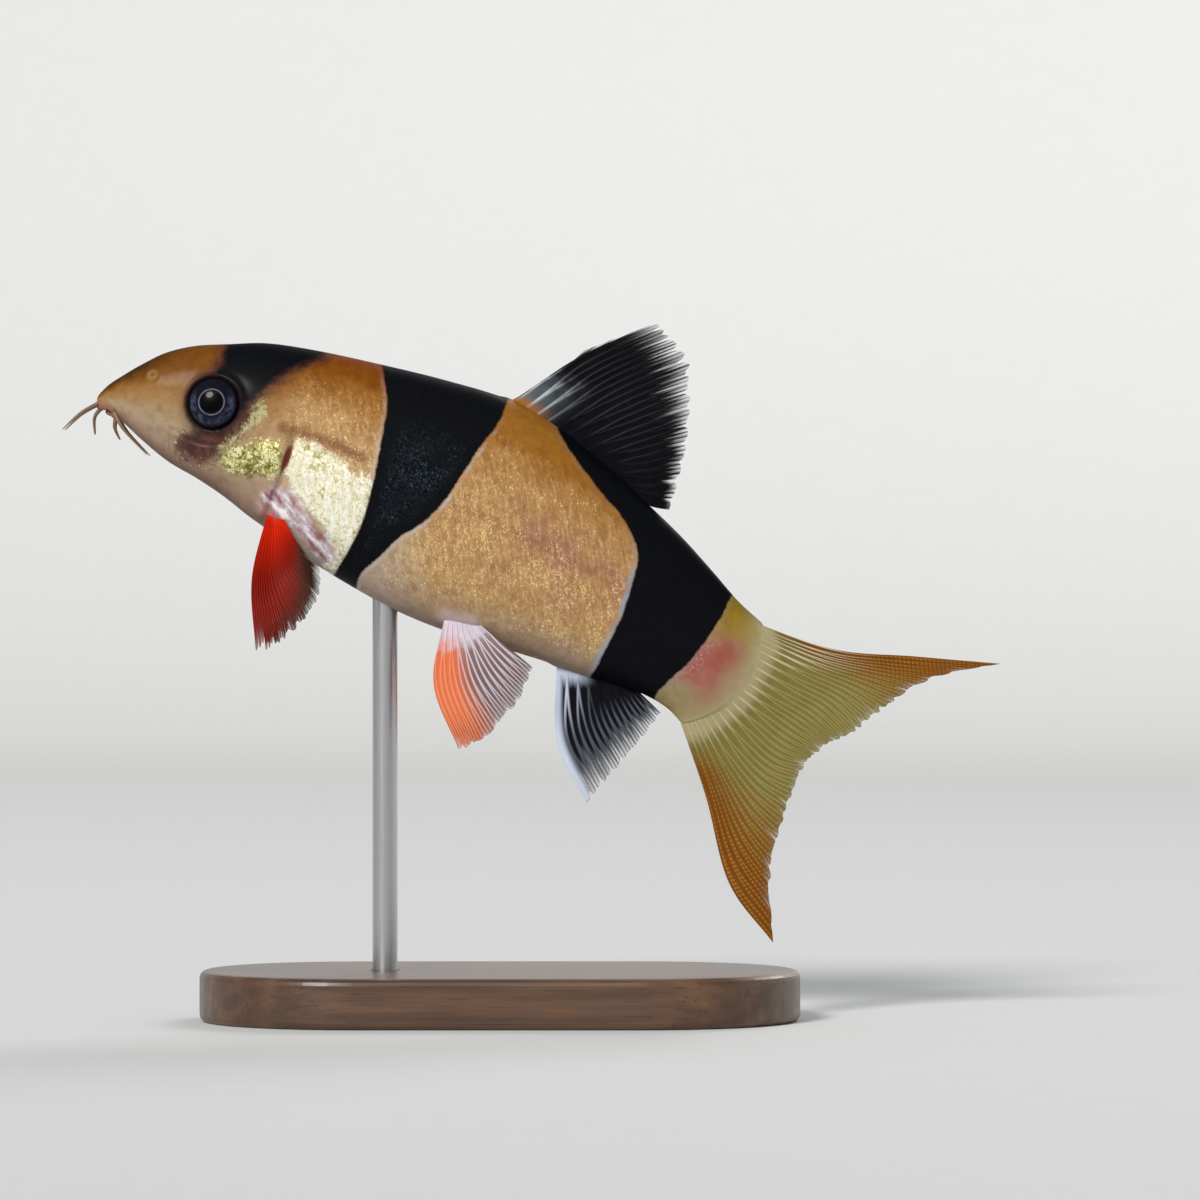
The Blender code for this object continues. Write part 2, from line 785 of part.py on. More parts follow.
ANAL = dict(
    rays=8,
    base=(15.25, 17.1),
    middles=((6.8, 33.6), (10.0, 35.0), (12.7, 36.4), (15.3, 37.7), (17.4, 38.7)),
    tips=((10.4, 26.1), (13.0, 28.9), (15.4, 31.6), (17.6, 34.4), (19.3, 36.9)),
    inward=(0, 0, 1),
    root_half=0.70,
    notch=0.06,
    rows=7,
)


def median_rays(line, shape):
    """Rays that stand on the back or belly line."""
    start, end = shape["base"]
    rays = []
    for share in spread(shape["rays"]):
        root = through(line, start + (end - start) * share)
        root = Vector((root.x, 0, root.y)) + Vector(shape["inward"]) * ROOT_DEPTH
        middle, tip = along_points(shape["middles"], share), along_points(shape["tips"], share)
        rays.append((root, flat(*middle), flat(*tip)))
    return rays


def add_dorsal_fin(collection):
    rays = median_rays(BACK_LINE, DORSAL)
    root = rays[0][0] + Vector(DORSAL_SPLINT_ROOT)
    rays.insert(0, (root, *(flat(*point) for point in DORSAL_SPLINT)))
    return fin("dorsal_fin", rays, DORSAL, collection, "dark_fin"), rays[1][0]


def add_anal_fin(collection):
    rays = median_rays(BELLY_LINE, ANAL)
    return fin("anal_fin", rays, ANAL, collection, "dark_fin"), rays[0][0]


TAIL = dict(rays=9, root_half=1.0, taper=0.30, notch=0.03, rows=8)
TAIL_MIDDLE = 0.15  # half the gap between the lobes
TAIL_ROOT_DEPTH = 1.5
TAIL_ROOT_SQUEEZE = 0.10  # how far the roots draw in towards the middle, as a share of their distance

# The forked tail fin: where its rays begin, pass one third and two thirds, and end, from the outer ray of
# each lobe to the fork
UPPER_LOBE = (
    ((30.9, 47.9), (31.5, 45.4), (28.7, 39.8)),
    ((40.0, 44.5), (37.4, 42.3), (32.2, 37.5)),
    ((50.0, 43.6), (42.8, 40.2), (35.6, 35.2)),
    ((60.4, 42.7), (53.0, 41.2), (47.2, 38.0), (42.6, 34.5), (39.1, 32.8)),
)
LOWER_LOBE = (
    ((21.9, 35.7), (24.6, 36.4), (28.7, 39.8)),
    ((24.7, 26.8), (27.4, 31.4), (32.2, 37.5)),
    ((27.5, 16.4), (30.6, 27.2), (35.6, 35.2)),
    ((32.8, 9.2), (32.6, 16.8), (34.2, 24.2), (36.6, 30.2), (39.1, 32.8)),
)


def tail_lobe(name, lobe, side, collection):
    """One lobe of the forked tail fin, on one side of the middle of the fork."""
    upper, lower = flat(*UPPER_LOBE[0][0]), flat(*LOWER_LOBE[0][0])
    centre = (upper + lower) / 2
    across = (upper - lower).normalized()
    inward = Vector((-across.z, 0, across.x)) * TAIL_ROOT_DEPTH
    rays = []
    for share in spread(TAIL["rays"] + 1):
        ray = [flat(*along_points(points, share)) for points in lobe]
        if share == 1.0:
            ray = [point + across * side * TAIL_MIDDLE for point in ray]
        ray[0] += inward + (centre - ray[0]) * TAIL_ROOT_SQUEEZE
        rays.append(ray)
    return fin(name, rays, TAIL, collection, "tail_fin"), centre


def add_tail_fin(collection):
    return [
        tail_lobe("tail_fin_upper", UPPER_LOBE, 1, collection),
        tail_lobe("tail_fin_lower", LOWER_LOBE, -1, collection),
    ]


# Paired fins: the curves (x, z) through the rays' roots, middles and tips, and how far the first and last
# tips stand out sideways from the root
PECTORAL = dict(
    rays=10,
    roots=((-27.9, 61.2), (-26.6, 60.4)),
    middles=((-29.3, 53.0), (-27.4, 53.3), (-25.4, 55.2), (-24.2, 57.6)),
    tips=((-28.7, 44.4), (-26.6, 45.5), (-23.6, 48.2), (-22.0, 51.6), (-22.4, 55.2)),
    splay=(8.0, 5.0),
    root_half=0.6,
    taper=0.30,
    notch=0.05,
    rows=8,
)
PELVIC = dict(
    rays=8,
    roots=((-6.6, 48.4), (-3.6, 47.8)),
    middles=((-7.8, 40.6), (-4.6, 40.6), (-1.4, 42.2), (0.6, 45.0)),
    tips=((-4.8, 32.8), (-2.4, 33.2), (0.4, 36.0), (2.6, 39.0), (3.8, 42.4)),
    splay=(4.0, 1.8),
    root_half=0.6,
    taper=0.30,
    notch=0.05,
    rows=8,
)
MIDDLE_SPLAY = 0.6  # how far a ray's middle stands out, as a share of its tip


def paired_fins(name, shape, collection, colour):
    """The left and right fin, each with the place of its root."""
    rays = []
    for share in spread(shape["rays"]):
        root, middle, tip = (along_points(shape[key], share) for key in ("roots", "middles", "tips"))
        out = shape["splay"][0] + (shape["splay"][1] - shape["splay"][0]) * share
        skin, normal = skin_frame(*root)
        start = skin - normal * ROOT_DEPTH
        rays.append((start, flat(*middle, skin.y - out * MIDDLE_SPLAY), flat(*tip, skin.y - out)))

    def build(side, flip):
        turned = [tuple(flip(point) for point in ray) for ray in rays]
        return fin(f"{name}_fin_{side}", turned, shape, collection, colour), turned[0][0]

    return both_sides(build)


def belly_at_rod():
    """The belly's level where the rod meets it."""
    low, high = GILL_STATIONS[0], TAIL_CUT
    for _ in range(HALVINGS):
        middle = (low + high) / 2
        if through(BELLY_LINE, middle).x < ROD_X:
            low = middle
        else:
            high = middle
    return through(BELLY_LINE, low).y


def rod_top():
    return belly_at_rod() + BODY_SOCKET_DEPTH


def round_bar(name, radius, bottom, top, collection, colour=None):
    """An upright round bar between two levels, at the rod's place."""
    work = bmesh.new()
    bmesh.ops.create_cone(
        work,
        cap_ends=True,
        segments=ROD_SEGMENTS,
        radius1=radius * MM,
        radius2=radius * MM,
        depth=(top - bottom) * MM,
    )
    bar = finish_mesh(name, work, collection, colour)
    bar.location = Vector((ROD_X, 0, (bottom + top) / 2)) * MM
    return bar


def base_plate(collection):
    """A flat outline, extruded with rounded edges."""
    curve = bpy.data.curves.new("stand_base", "CURVE")
    curve.dimensions = "2D"
    curve.fill_mode = "BOTH"
    curve.extrude = (BASE_THICKNESS / 2 - BASE_EDGE) * MM
    curve.bevel_depth = BASE_EDGE * MM
    curve.bevel_resolution = 2
    curve.offset = -BASE_EDGE * MM
    outline = base_outline()
    spline = curve.splines.new("POLY")
    spline.points.add(len(outline) - 1)
    spline.use_cyclic_u = True
    for knot, (x, y) in zip(spline.points, outline):
        knot.co = (x * MM, y * MM, 0, 1)
    work = closed_mesh_of(curve, collection)
    base = finish_mesh("stand_base", work, collection, "wood")
    base.location = (0, 0, BASE_THICKNESS / 2 * MM)
    return base


def add_stand(collection, cutters):
    base = base_plate(collection)
    bottom = BASE_THICKNESS - SOCKET_DEPTH
    above = BASE_THICKNESS + SOCKET_DEPTH
    socket = round_bar("base_socket", ROD_RADIUS + SOCKET_CLEARANCE, bottom, above, cutters)
    boolean(base, "DIFFERENCE", as_cutter(socket))
    apply_modifiers(base)
    rod = round_bar("stand_rod", ROD_RADIUS, bottom + GAP / MM, rod_top(), collection, "steel")
    return base, rod


def base_outline():
    """A rounded rectangle, corner by corner."""
    points = []
    for quarter in range(4):
        x = (BASE_LENGTH / 2 - BASE_CORNER) * (1 if quarter in (0, 3) else -1)
        y = (BASE_WIDTH / 2 - BASE_CORNER) * (1 if quarter in (0, 1) else -1)
        for step in range(BASE_CORNER_STEPS + 1):
            turn = (quarter + step / BASE_CORNER_STEPS) * math.pi / 2
            points.append((x + BASE_CORNER * math.cos(turn), y + BASE_CORNER * math.sin(turn)))
    return points


def build():
    clear_scene()
    model = bpy.data.collections.new("clown_loach")
    cutters = bpy.data.collections.new("cutters")
    for collection in (model, cutters):
        bpy.context.scene.collection.children.link(collection)
    clearance = as_cutter(body_clearance(cutters))
    lip_clearance = [as_cutter(lip) for lip in lips(cutters, GAP / MM)]

    fish = empty("fish_on_rod", Vector((ROD_X, 0, rod_top())), model)
    hang(add_head(model, cutters), fish, Vector((GILL_MIDDLE[0], 0, GILL_MIDDLE[1])))
    hang(add_torso(model, cutters), fish, Vector((ROD_X, 0, rod_top())))
    hang(add_tail_stem(model), fish, body_point(TAIL_CUT, math.pi / 2))
    for eye in eye_balls("eye", 0.0, model, "eye"):
        hang(eye, fish)
    for barbel, root in add_barbels(model):
        hang(seated(barbel, clearance, *lip_clearance), fish, root)
    fins = [add_dorsal_fin(model), add_anal_fin(model), *add_tail_fin(model)]
    fins += paired_fins("pectoral", PECTORAL, model, "red_fin")
    fins += paired_fins("pelvic", PELVIC, model, "pelvic_fin")
    for obj, root in fins:
        hang(seated(obj, clearance), fish, root)

    stand = empty("stand_on_floor", Vector(), model)
    for obj in add_stand(model, cutters):
        hang(obj, stand)


build()
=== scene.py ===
"""Looks of the clown loach on its stand: one skin over the flesh, fine fins, wet eyes, and studio light.

Lengths are in millimetres until a mesh is made, and then in metres (MM). The body's stations and the fins'
rays are those of the CAD model, so every surface here lies on the solids that it stands for.
"""

import math
from types import SimpleNamespace

import bmesh
import bpy
import numpy as np
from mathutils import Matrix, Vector


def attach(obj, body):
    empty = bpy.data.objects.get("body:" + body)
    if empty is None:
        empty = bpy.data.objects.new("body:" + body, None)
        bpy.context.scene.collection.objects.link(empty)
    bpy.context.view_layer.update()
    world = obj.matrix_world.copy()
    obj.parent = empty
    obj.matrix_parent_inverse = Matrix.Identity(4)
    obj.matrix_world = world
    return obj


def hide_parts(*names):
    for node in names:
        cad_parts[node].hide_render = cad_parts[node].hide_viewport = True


MM = 0.001

# The body from snout tip to tail base: back line (x, z), belly line (x, z), half width, widest level
STATIONS = (
    ((-48.4, 74.3), (-48.4, 74.3), 0.0, 0.50),
    ((-48.2, 74.9), (-48.2, 73.8), 0.75, 0.48),
    ((-47.6, 75.6), (-47.5, 73.35), 1.30, 0.45),
    ((-46.7, 76.4), (-46.4, 72.6), 1.75, 0.42),
    ((-45.3, 77.3), (-45.0, 71.5), 2.25, 0.41),
    ((-43.1, 78.6), (-42.8, 69.45), 2.90, 0.42),
    ((-40.0, 80.1), (-39.8, 67.0), 3.65, 0.43),
    ((-36.5, 80.9), (-36.4, 65.0), 4.35, 0.44),
    ((-32.6, 81.1), (-33.1, 62.8), 5.00, 0.44),
    ((-27.8, 81.2), (-29.3, 59.9), 5.70, 0.45),
    ((-21.8, 80.3), (-24.6, 56.3), 6.45, 0.46),
    ((-14.4, 78.7), (-18.6, 52.5), 6.95, 0.47),
    ((-6.6, 76.8), (-12.2, 49.0), 7.00, 0.48),
    ((1.1, 74.4), (-6.0, 46.5), 6.70, 0.49),
    ((7.2, 70.8), (0.0, 44.7), 6.05, 0.50),
    ((12.2, 66.8), (5.5, 43.0), 5.20, 0.50),
    ((17.0, 62.6), (10.6, 41.3), 4.30, 0.50),
    ((21.6, 58.2), (14.9, 40.0), 3.50, 0.50),
    ((25.4, 54.0), (18.0, 38.7), 2.80, 0.50),
    ((28.6, 50.3), (20.2, 37.3), 2.15, 0.50),
    ((31.3, 47.8), (21.8, 35.6), 1.55, 0.50),
)
TAIL_BASE = len(STATIONS) - 1.0
TAIL_CUT = 17.35  # the station where the tail stem begins
BACK_ROUNDNESS = 0.97  # below 1 the section is boxier than an ellipse
BELLY_ROUNDNESS = 0.82
STEM_END_BULGE = 2.6
GILL_POINTS = ((-24.0, 80.6), (-25.3, 67.6), (-28.6, 59.4))
GILL_STATIONS = (8.0, 11.0)  # the stations that the gill opening lies between
GILL_COVER_RISE = 0.55
GILL_COVER_FRONT = -35.0
GILL_COVER_LEVELS = (58.5, 61.5, 68.0, 72.5)  # fades in from below and out above
GILL_SLIT_LEVEL = 67.3  # where the opening gapes most
GILL_SLIT_DEPTH = 0.36
SWAY_START = -5.0
SWAY_END = 60.0
SWAY_REACH = 4.5

EYE_CENTRE = (-34.2, 73.9)
EYE_RADIUS = 3.1
EYE_HALF_DEPTH = 1.65
EYE_SUNK = 0.62
NOSTRIL_CENTRE = (-41.5, 77.3)
MOUTH_CENTRE = (-46.95, 73.15)
MOUTH_SLOPE = math.radians(-38)
LIP_SWEEP = math.radians(105)
UPPER_LIP = dict(reach=1.12, half_width=1.45, thickness=0.48, back=0.05)
LOWER_LIP = dict(reach=0.55, half_width=0.98, thickness=0.46, back=0.72)
MOUTH_LINE = dict(reach=0.80, half_width=1.25, thickness=0.14, back=0.30)
SPINE_GROOVE = ((-39.2, 70.9), (-37.0, 69.5), (-34.6, 68.9), (-32.4, 69.3))
SHOULDER_GROOVE = ((-25.8, 70.9), (-22.9, 70.0), (-19.6, 68.9), (-16.4, 67.3))
LATERAL_LINE_START = 9.6  # the station behind the gill opening where it begins
EYE_SOCKET_DEPTH = 1.1
NOSTRIL_PIT_DEPTH = 0.20
MOUTH_LINE_DEPTH = 0.45

# Ridges and trenches of the skin: the rise, its distance from the middle or edge of the form, and its width
EYE_RIM = (0.09, 0.34, 0.30)
EYE_FOLD = (-0.02, 1.15, 0.45)
NOSTRIL_RIM = (0.22, 0.42, 0.34)
SPINE_RIMS = (0.08, 0.42, 0.26)
SPINE_TRENCH = (-0.20, 0.0, 0.20)
SHOULDER_RIMS = (0.07, 0.75, 0.40)
SHOULDER_TRENCH = (-0.12, 0.0, 0.38)
LATERAL_TRENCH = (-0.035, 0.0, 0.22)

# Counts of rows and columns in the grids of vertices
SKIN_COLUMNS = 208
HEAD_ROWS = 176
BODY_ROWS = 216
END_ROWS = 24
EYE_ROWS = 40
EYE_COLUMNS = 72
BARBEL_ROWS = 44
BARBEL_COLUMNS = 16
HEAD_ROW_CROWDING = 1.25  # above 1 the rows are denser towards the snout
FIN_ROW_CROWDING = 0.92  # below 1 they are denser towards the margin

# Counts of samples and of steps in a search
HALVINGS = 40
LIP_SAMPLES = 32
RAY_SAMPLES = 64
LATERAL_LINE_SAMPLES = 40

# How the flesh thins out over the tail fin
END_REACH = 2.2
END_SLOPE = -0.75
END_THINNING = 0.45  # how much narrower the flesh is at the tail base
END_THINNING_START = TAIL_BASE - 2.0

# Outlines of the markings, seen from the side, as (x, z)
HEAD_BAND = (
    (-32.4, 84.0), (-32.8, 80.6), (-33.8, 77.8), (-35.2, 76.6), (-35.8, 73.9), (-34.3, 71.2), (-31.6, 71.9),
    (-29.9, 73.9), (-27.2, 76.2), (-24.6, 78.0), (-21.2, 79.7), (-19.0, 83.5),
)
MIDDLE_BAND = (
    (-15.2, 83.0), (-14.0, 78.0), (-13.4, 73.9), (-13.7, 71.3), (-14.4, 67.3), (-15.2, 63.5), (-16.3, 59.7),
    (-17.8, 56.6), (-19.4, 54.1), (-20.8, 51.4), (-18.0, 50.2), (-16.6, 53.4), (-14.4, 55.4), (-12.0, 57.7),
    (-8.6, 60.0), (-5.9, 63.0), (-4.0, 66.0), (-2.0, 69.0), (0.1, 71.9), (1.4, 76.0), (2.2, 80.0),
)
TAIL_BAND = (
    (6.0, 74.0), (7.0, 70.7), (9.0, 67.4), (12.4, 62.9), (14.7, 60.2), (16.2, 57.2), (16.5, 55.2),
    (15.8, 52.2), (14.6, 48.5), (13.1, 45.4), (11.5, 42.2), (9.6, 38.5), (17.6, 36.4), (18.7, 39.0),
    (20.0, 40.5), (22.4, 42.7), (24.6, 45.4), (26.4, 48.1), (27.8, 50.8), (30.0, 54.5), (19.0, 66.0),
)
GILL_COVER_PATCH = (
    (-33.2, 67.2), (-32.2, 68.4), (-30.2, 69.0), (-28.3, 69.4), (-26.5, 69.3), (-25.9, 68.2), (-25.9, 66.7),
    (-26.5, 65.4), (-28.3, 65.2), (-30.5, 65.2), (-32.3, 65.8),
)
SHOULDER_PATCH = (
    (-24.6, 68.6), (-23.9, 69.7), (-22.3, 69.6), (-20.4, 68.3), (-18.9, 67.4), (-17.3, 65.6), (-15.2, 64.9),
    (-15.6, 62.4), (-16.7, 59.2), (-18.2, 56.2), (-19.8, 53.6), (-20.9, 54.2), (-20.0, 56.2), (-21.2, 59.0),
    (-23.2, 61.6), (-24.9, 63.9), (-25.1, 66.2),
)
CHEEK_PATCH = (
    (-28.8, 74.6), (-27.8, 74.2), (-27.5, 73.0), (-27.8, 71.7), (-28.9, 70.9), (-30.1, 70.1), (-31.2, 69.2),
    (-32.6, 68.3), (-33.6, 68.1), (-33.2, 69.0), (-31.9, 70.0), (-30.8, 71.0), (-30.1, 72.0), (-29.8, 73.4),
)
UNDER_EYE_PATCH = (
    (-38.9, 68.8), (-38.3, 70.2), (-36.9, 70.9), (-34.3, 71.6), (-31.7, 71.6), (-30.6, 73.4), (-29.5, 75.2),
    (-28.6, 74.6), (-29.0, 72.2), (-29.9, 70.7), (-31.4, 69.4), (-32.9, 68.7), (-33.3, 67.6), (-34.5, 66.8),
    (-36.3, 66.8), (-38.0, 67.5),
)
TAIL_STEM_BLUSH = (
    (21.4, 41.2), (22.6, 43.6), (24.4, 45.3), (26.4, 46.0), (28.8, 45.7), (30.0, 44.4), (28.6, 43.0),
    (27.1, 42.1), (26.4, 40.4), (26.2, 38.5), (24.6, 37.3), (23.4, 38.6), (22.6, 39.8),
)
CHEST_PATCH = (
    (-28.3, 63.3), (-26.6, 64.0), (-24.7, 63.5), (-22.9, 61.1), (-21.1, 58.9), (-19.6, 56.9), (-19.4, 55.2),
    (-20.8, 54.9), (-23.0, 57.0), (-24.6, 58.8), (-26.4, 60.4), (-28.2, 61.6),
)
PATCHES = dict(
    opercle=GILL_COVER_PATCH, shoulder=SHOULDER_PATCH, cheek=CHEEK_PATCH, maroon=UNDER_EYE_PATCH,
    blush=TAIL_STEM_BLUSH, chest=CHEST_PATCH,
)
TEAL_SPOT = (-7.2, 67.4)  # a black spot in the teal of the middle band

# Fins: half thicknesses, and rays that divide twice
MEMBRANE = 0.10
RAY_RIDGE = 0.15
FIN_EDGE = 0.03
WEB_TAPER = 0.6  # how much thinner the web is at the margin
RIDGE_TAPER = 0.70
RAY_WIDTH = 0.11  # of a ray at its root, as a share of the space between two rays
RAY_TAPER = 0.07
LEAD_WIDTH = 0.30  # of the first ray, which is the stoutest
JOINT_NOTCH = 0.25
MARGIN_START = 0.90
RIPPLES = 1.4  # waves across a fin
TIPS_PER_RAY = 4  # ragged tips of the margin
TIP_SCATTER = 0.035
SPLIT_WIDTH = 0.12
ROOT_DEPTH = 1.0
FIRST_FORK = (0.10, 0.50)  # where each ray begins to divide in two, and where the halves stand apart
SECOND_FORK = (0.42, 0.95)  # the same for the halves
FIRST_SPREAD = 0.25  # how far the halves part, as a share of the space between rays
SECOND_SPREAD = 0.125
JOINT_LENGTH = 0.52  # of a ray's segments
DORSAL_BASE = (13.0, 15.5)
DORSAL_MIDDLES = ((9.4, 79.5), (13.6, 76.6), (15.9, 72.2), (17.3, 67.2), (17.7, 61.8))
DORSAL_TIPS = ((18.6, 83.5), (22.3, 80.2), (22.9, 74.6), (22.4, 68.2), (20.3, 61.2))
DORSAL_SPLINT = ((6.2, 77.0), (10.2, 80.4))
ANAL_BASE = (15.25, 17.1)
ANAL_MIDDLES = ((6.8, 33.6), (10.0, 35.0), (12.7, 36.4), (15.3, 37.7), (17.4, 38.7))
ANAL_TIPS = ((10.4, 26.1), (13.0, 28.9), (15.4, 31.6), (17.6, 34.4), (19.3, 36.9))
TAIL_ROOT_DEPTH = 1.5
TAIL_ROOT_SQUEEZE = 0.10
TAIL_RAYS = 12  # in each lobe
TAIL_RAY_SPREAD = 0.85  # below 1 the rays are denser towards the fork
UPPER_LOBE = (
    ((30.9, 47.9), (31.5, 45.4), (28.7, 39.8)),
    ((40.0, 44.5), (37.4, 42.3), (32.2, 37.5)),
    ((50.0, 43.6), (42.8, 40.2), (35.6, 35.2)),
    ((60.4, 42.7), (53.0, 41.2), (47.2, 38.0), (42.6, 34.5), (39.1, 32.8)),
)
LOWER_LOBE = (
    ((21.9, 35.7), (24.6, 36.4), (28.7, 39.8)),
    ((24.7, 26.8), (27.4, 31.4), (32.2, 37.5)),
    ((27.5, 16.4), (30.6, 27.2), (35.6, 35.2)),
    ((32.8, 9.2), (32.6, 16.8), (34.2, 24.2), (36.6, 30.2), (39.1, 32.8)),
)
PECTORAL = dict(
    roots=((-27.9, 61.2), (-26.6, 60.4)),
    middles=((-29.3, 53.0), (-27.4, 53.3), (-25.4, 55.2), (-24.2, 57.6)),
    tips=((-28.7, 44.4), (-26.6, 45.5), (-23.6, 48.2), (-22.0, 51.6), (-22.4, 55.2)),
    splay=(8.0, 5.0),
)
PELVIC = dict(
    roots=((-6.6, 48.4), (-3.6, 47.8)),
    middles=((-7.8, 40.6), (-4.6, 40.6), (-1.4, 42.2), (0.6, 45.0)),
    tips=((-4.8, 32.8), (-2.4, 33.2), (0.4, 36.0), (2.6, 39.0), (3.8, 42.4)),
    splay=(4.0, 1.8),
)
# The fleshy swelling where a fin leaves the body: its height and its width
FIN_SWELLING = dict(dorsal=(0.22, 0.9), anal=(0.22, 0.9), pectoral=(0.30, 1.5), pelvic=(0.16, 1.5))

BARBEL_ROOT_RADIUS = 0.27
BARBEL_TIP_RADIUS = 0.05
BARBEL_TAPER = 0.8
BARBEL_TIP_START = 0.96  # the share of its length where a barbel's tip begins to round off
BARBEL_WRINKLES = (0.025, 95)
BARBELS = dict(
    rostral_outer=((-47.5, 0.85, 74.3), (-50.2, 1.5, 72.8), (-52.4, 1.9, 70.8)),
    rostral_inner=((-47.3, 0.35, 73.9), (-48.6, 0.55, 72.4), (-48.6, 0.7, 70.2)),
    maxillary=((-46.2, 1.75, 72.9), (-44.9, 2.35, 70.7), (-42.1, 2.6, 67.7)),
    mandibular=((-46.1, 0.60, 72.2), (-46.2, 0.75, 71.0), (-45.6, 0.85, 69.6)),
)

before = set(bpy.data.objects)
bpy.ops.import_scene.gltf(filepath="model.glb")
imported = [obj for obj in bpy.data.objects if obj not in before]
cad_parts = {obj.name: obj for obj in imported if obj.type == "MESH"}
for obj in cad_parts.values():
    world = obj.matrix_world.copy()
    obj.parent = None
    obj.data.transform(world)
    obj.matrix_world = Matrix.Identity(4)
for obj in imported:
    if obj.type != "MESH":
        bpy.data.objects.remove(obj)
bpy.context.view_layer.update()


def smooth_step(low, high, value):
    share = np.clip((value - low) / (high - low), 0.0, 1.0)
    return share * share * (3 - 2 * share)


def hill(distance, width):
    return np.exp(-((distance / width) ** 2))


def spread(count):
    return np.linspace(0, 1, count)


def turns(count):
    return 2 * math.pi * np.arange(count) / count


def unit(vectors):
    return vectors / np.maximum(1e-9, np.linalg.norm(vectors, axis=-1, keepdims=True))


def flat(x, z, y=0.0):
    return np.array([x, y, z])


def mirrored(points):
    return np.asarray(points, float) * np.array([1, -1, 1])


SIDES = dict(left=np.asarray, right=mirrored)


def curve_between(before, start, end, after, share):
    """The Catmull-Rom curve from start to end."""
    return 0.5 * (
        2 * start
        + (end - before) * share
        + (2 * before - 5 * start + 4 * end - after) * share**2
        + (3 * start - before - 3 * end + after) * share**3
    )


def through(values, place):
    """A smooth curve through values, which lie at whole numbers of place. Both can be arrays."""
    values = np.asarray(values, float)
    place = np.clip(place, 0, len(values) - 1)
    index = np.minimum(np.asarray(place).astype(int), len(values) - 2)
    share = np.asarray(place - index)
    padded = np.concatenate([[2 * values[0] - values[1]], values, [2 * values[-1] - values[-2]]])
    share = share.reshape(share.shape + (1,) * (values.ndim - 1))
    return curve_between(*(padded[index + step] for step in range(4)), share)


def along_points(points, share):
    return through(points, np.asarray(share) * (len(points) - 1))


BACK_LINE, BELLY_LINE, HALF_WIDTHS, WIDEST_LEVELS = (np.array(column) for column in zip(*STATIONS))
GILL_CURVE = np.polyfit([z for _, z in GILL_POINTS], [x for x, _ in GILL_POINTS], 2)


def gill_line(z):
    return np.polyval(GILL_CURVE, z)


def swayed(points):
    """Points moved to the right, the more so the further to the rear they are."""
    moved = np.array(points, float)
    rear = np.clip((moved[..., 0] - SWAY_START) / (SWAY_END - SWAY_START), 0, None)
    moved[..., 1] += SWAY_REACH * rear**2
    return moved


def body_points(place, turn):
    """Points of the skin, and the share of the height at which each lies. turn is 0 along the back, a
    quarter turn on the left side and a half along the belly."""
    back, belly = through(BACK_LINE, place), through(BELLY_LINE, place)
    width = np.maximum(0, through(HALF_WIDTHS, place))
    level = through(WIDEST_LEVELS, place)
    up, side = np.cos(turn), np.sin(turn)
    roundness = np.where(up > 0, BACK_ROUNDNESS, BELLY_ROUNDNESS)
    across = np.sign(side) * np.abs(side) ** roundness
    rise = np.abs(up) ** roundness
    height = np.where(up > 0, level + (1 - level) * rise, level - level * rise)
    rearward = unit((belly - back)[..., ::-1] * np.array([-1, 1]))
    bulge = STEM_END_BULGE * smooth_step(TAIL_CUT + 0.5, TAIL_BASE, place) * side**2
    seen = belly + (back - belly) * height[..., None] + rearward * bulge[..., None]
    return np.stack([seen[..., 0], -width * across, seen[..., 1]], axis=-1), height


def halving(low, high, shape, is_before):
    """The place in each column up to which is_before holds, found by halving."""
    low, high = np.full(shape, low), np.full(shape, high)
    for _ in range(HALVINGS):
        middle = (low + high) / 2
        before = is_before(middle)
        low, high = np.where(before, middle, low), np.where(before, high, middle)
    return (low + high) / 2


def gill_places(turn):
    """The station where the skin at each turn crosses the gill opening."""

    def is_ahead(place):
        point, _ = body_points(place, turn)
        return point[..., 0] < gill_line(point[..., 2])

    return halving(*GILL_STATIONS, turn.shape, is_ahead)


def side_of_body(x, z):
    """The skin's half width at places seen from the side."""
    x, z = np.asarray(x, float), np.asarray(z, float)

    def is_ahead(place):
        back, belly = through(BACK_LINE, place), through(BELLY_LINE, place)
        along = back - belly
        return along[..., 0] * (z - belly[..., 1]) - along[..., 1] * (x - belly[..., 0]) < 0

    place = halving(0.2, TAIL_BASE, x.shape, is_ahead)
    back, belly, level = (through(values, place) for values in (BACK_LINE, BELLY_LINE, WIDEST_LEVELS))
    height = (z - belly[..., 1]) / (back[..., 1] - belly[..., 1])
    upper = height > level
    roundness = np.where(upper, BACK_ROUNDNESS, BELLY_ROUNDNESS)
    share = np.where(upper, (height - level) / (1 - level), (level - height) / level)
    share = np.clip(share, 0, 1) ** (1 / roundness)
    return through(HALF_WIDTHS, place) * (1 - share**2) ** (roundness / 2)


def skin_frame(x, z):
    """A place on the left side of the skin, and the outward normal there."""
    step = 0.2
    here, ahead, above = (
        flat(a, b, -float(side_of_body(a, b))) for a, b in ((x, z), (x + step, z), (x, z + step))
    )
    return here, unit(np.cross(ahead - here, above - here))


def region(outline, x, z, steps=6):
    """How deep places lie inside a smooth closed outline, in millimetres. It is negative outside."""
    knots = np.array(outline)
    spots = np.arange(len(knots) * steps) / steps
    index = spots.astype(int)
    around = [knots[(index + step) % len(knots)] for step in (-1, 0, 1, 2)]
    curve = curve_between(*around, (spots - index)[:, None])
    nearest = distance_to(np.concatenate([curve, curve[:1]]), x, z)
    inside = np.zeros(x.shape, bool)
    for (x0, z0), (x1, z1) in zip(curve, np.roll(curve, -1, axis=0)):
        if z0 != z1:
            crosses = (z0 > z) != (z1 > z)
            inside ^= crosses & (x < x0 + (z - z0) / (z1 - z0) * (x1 - x0))
    return np.where(inside, nearest, -nearest)


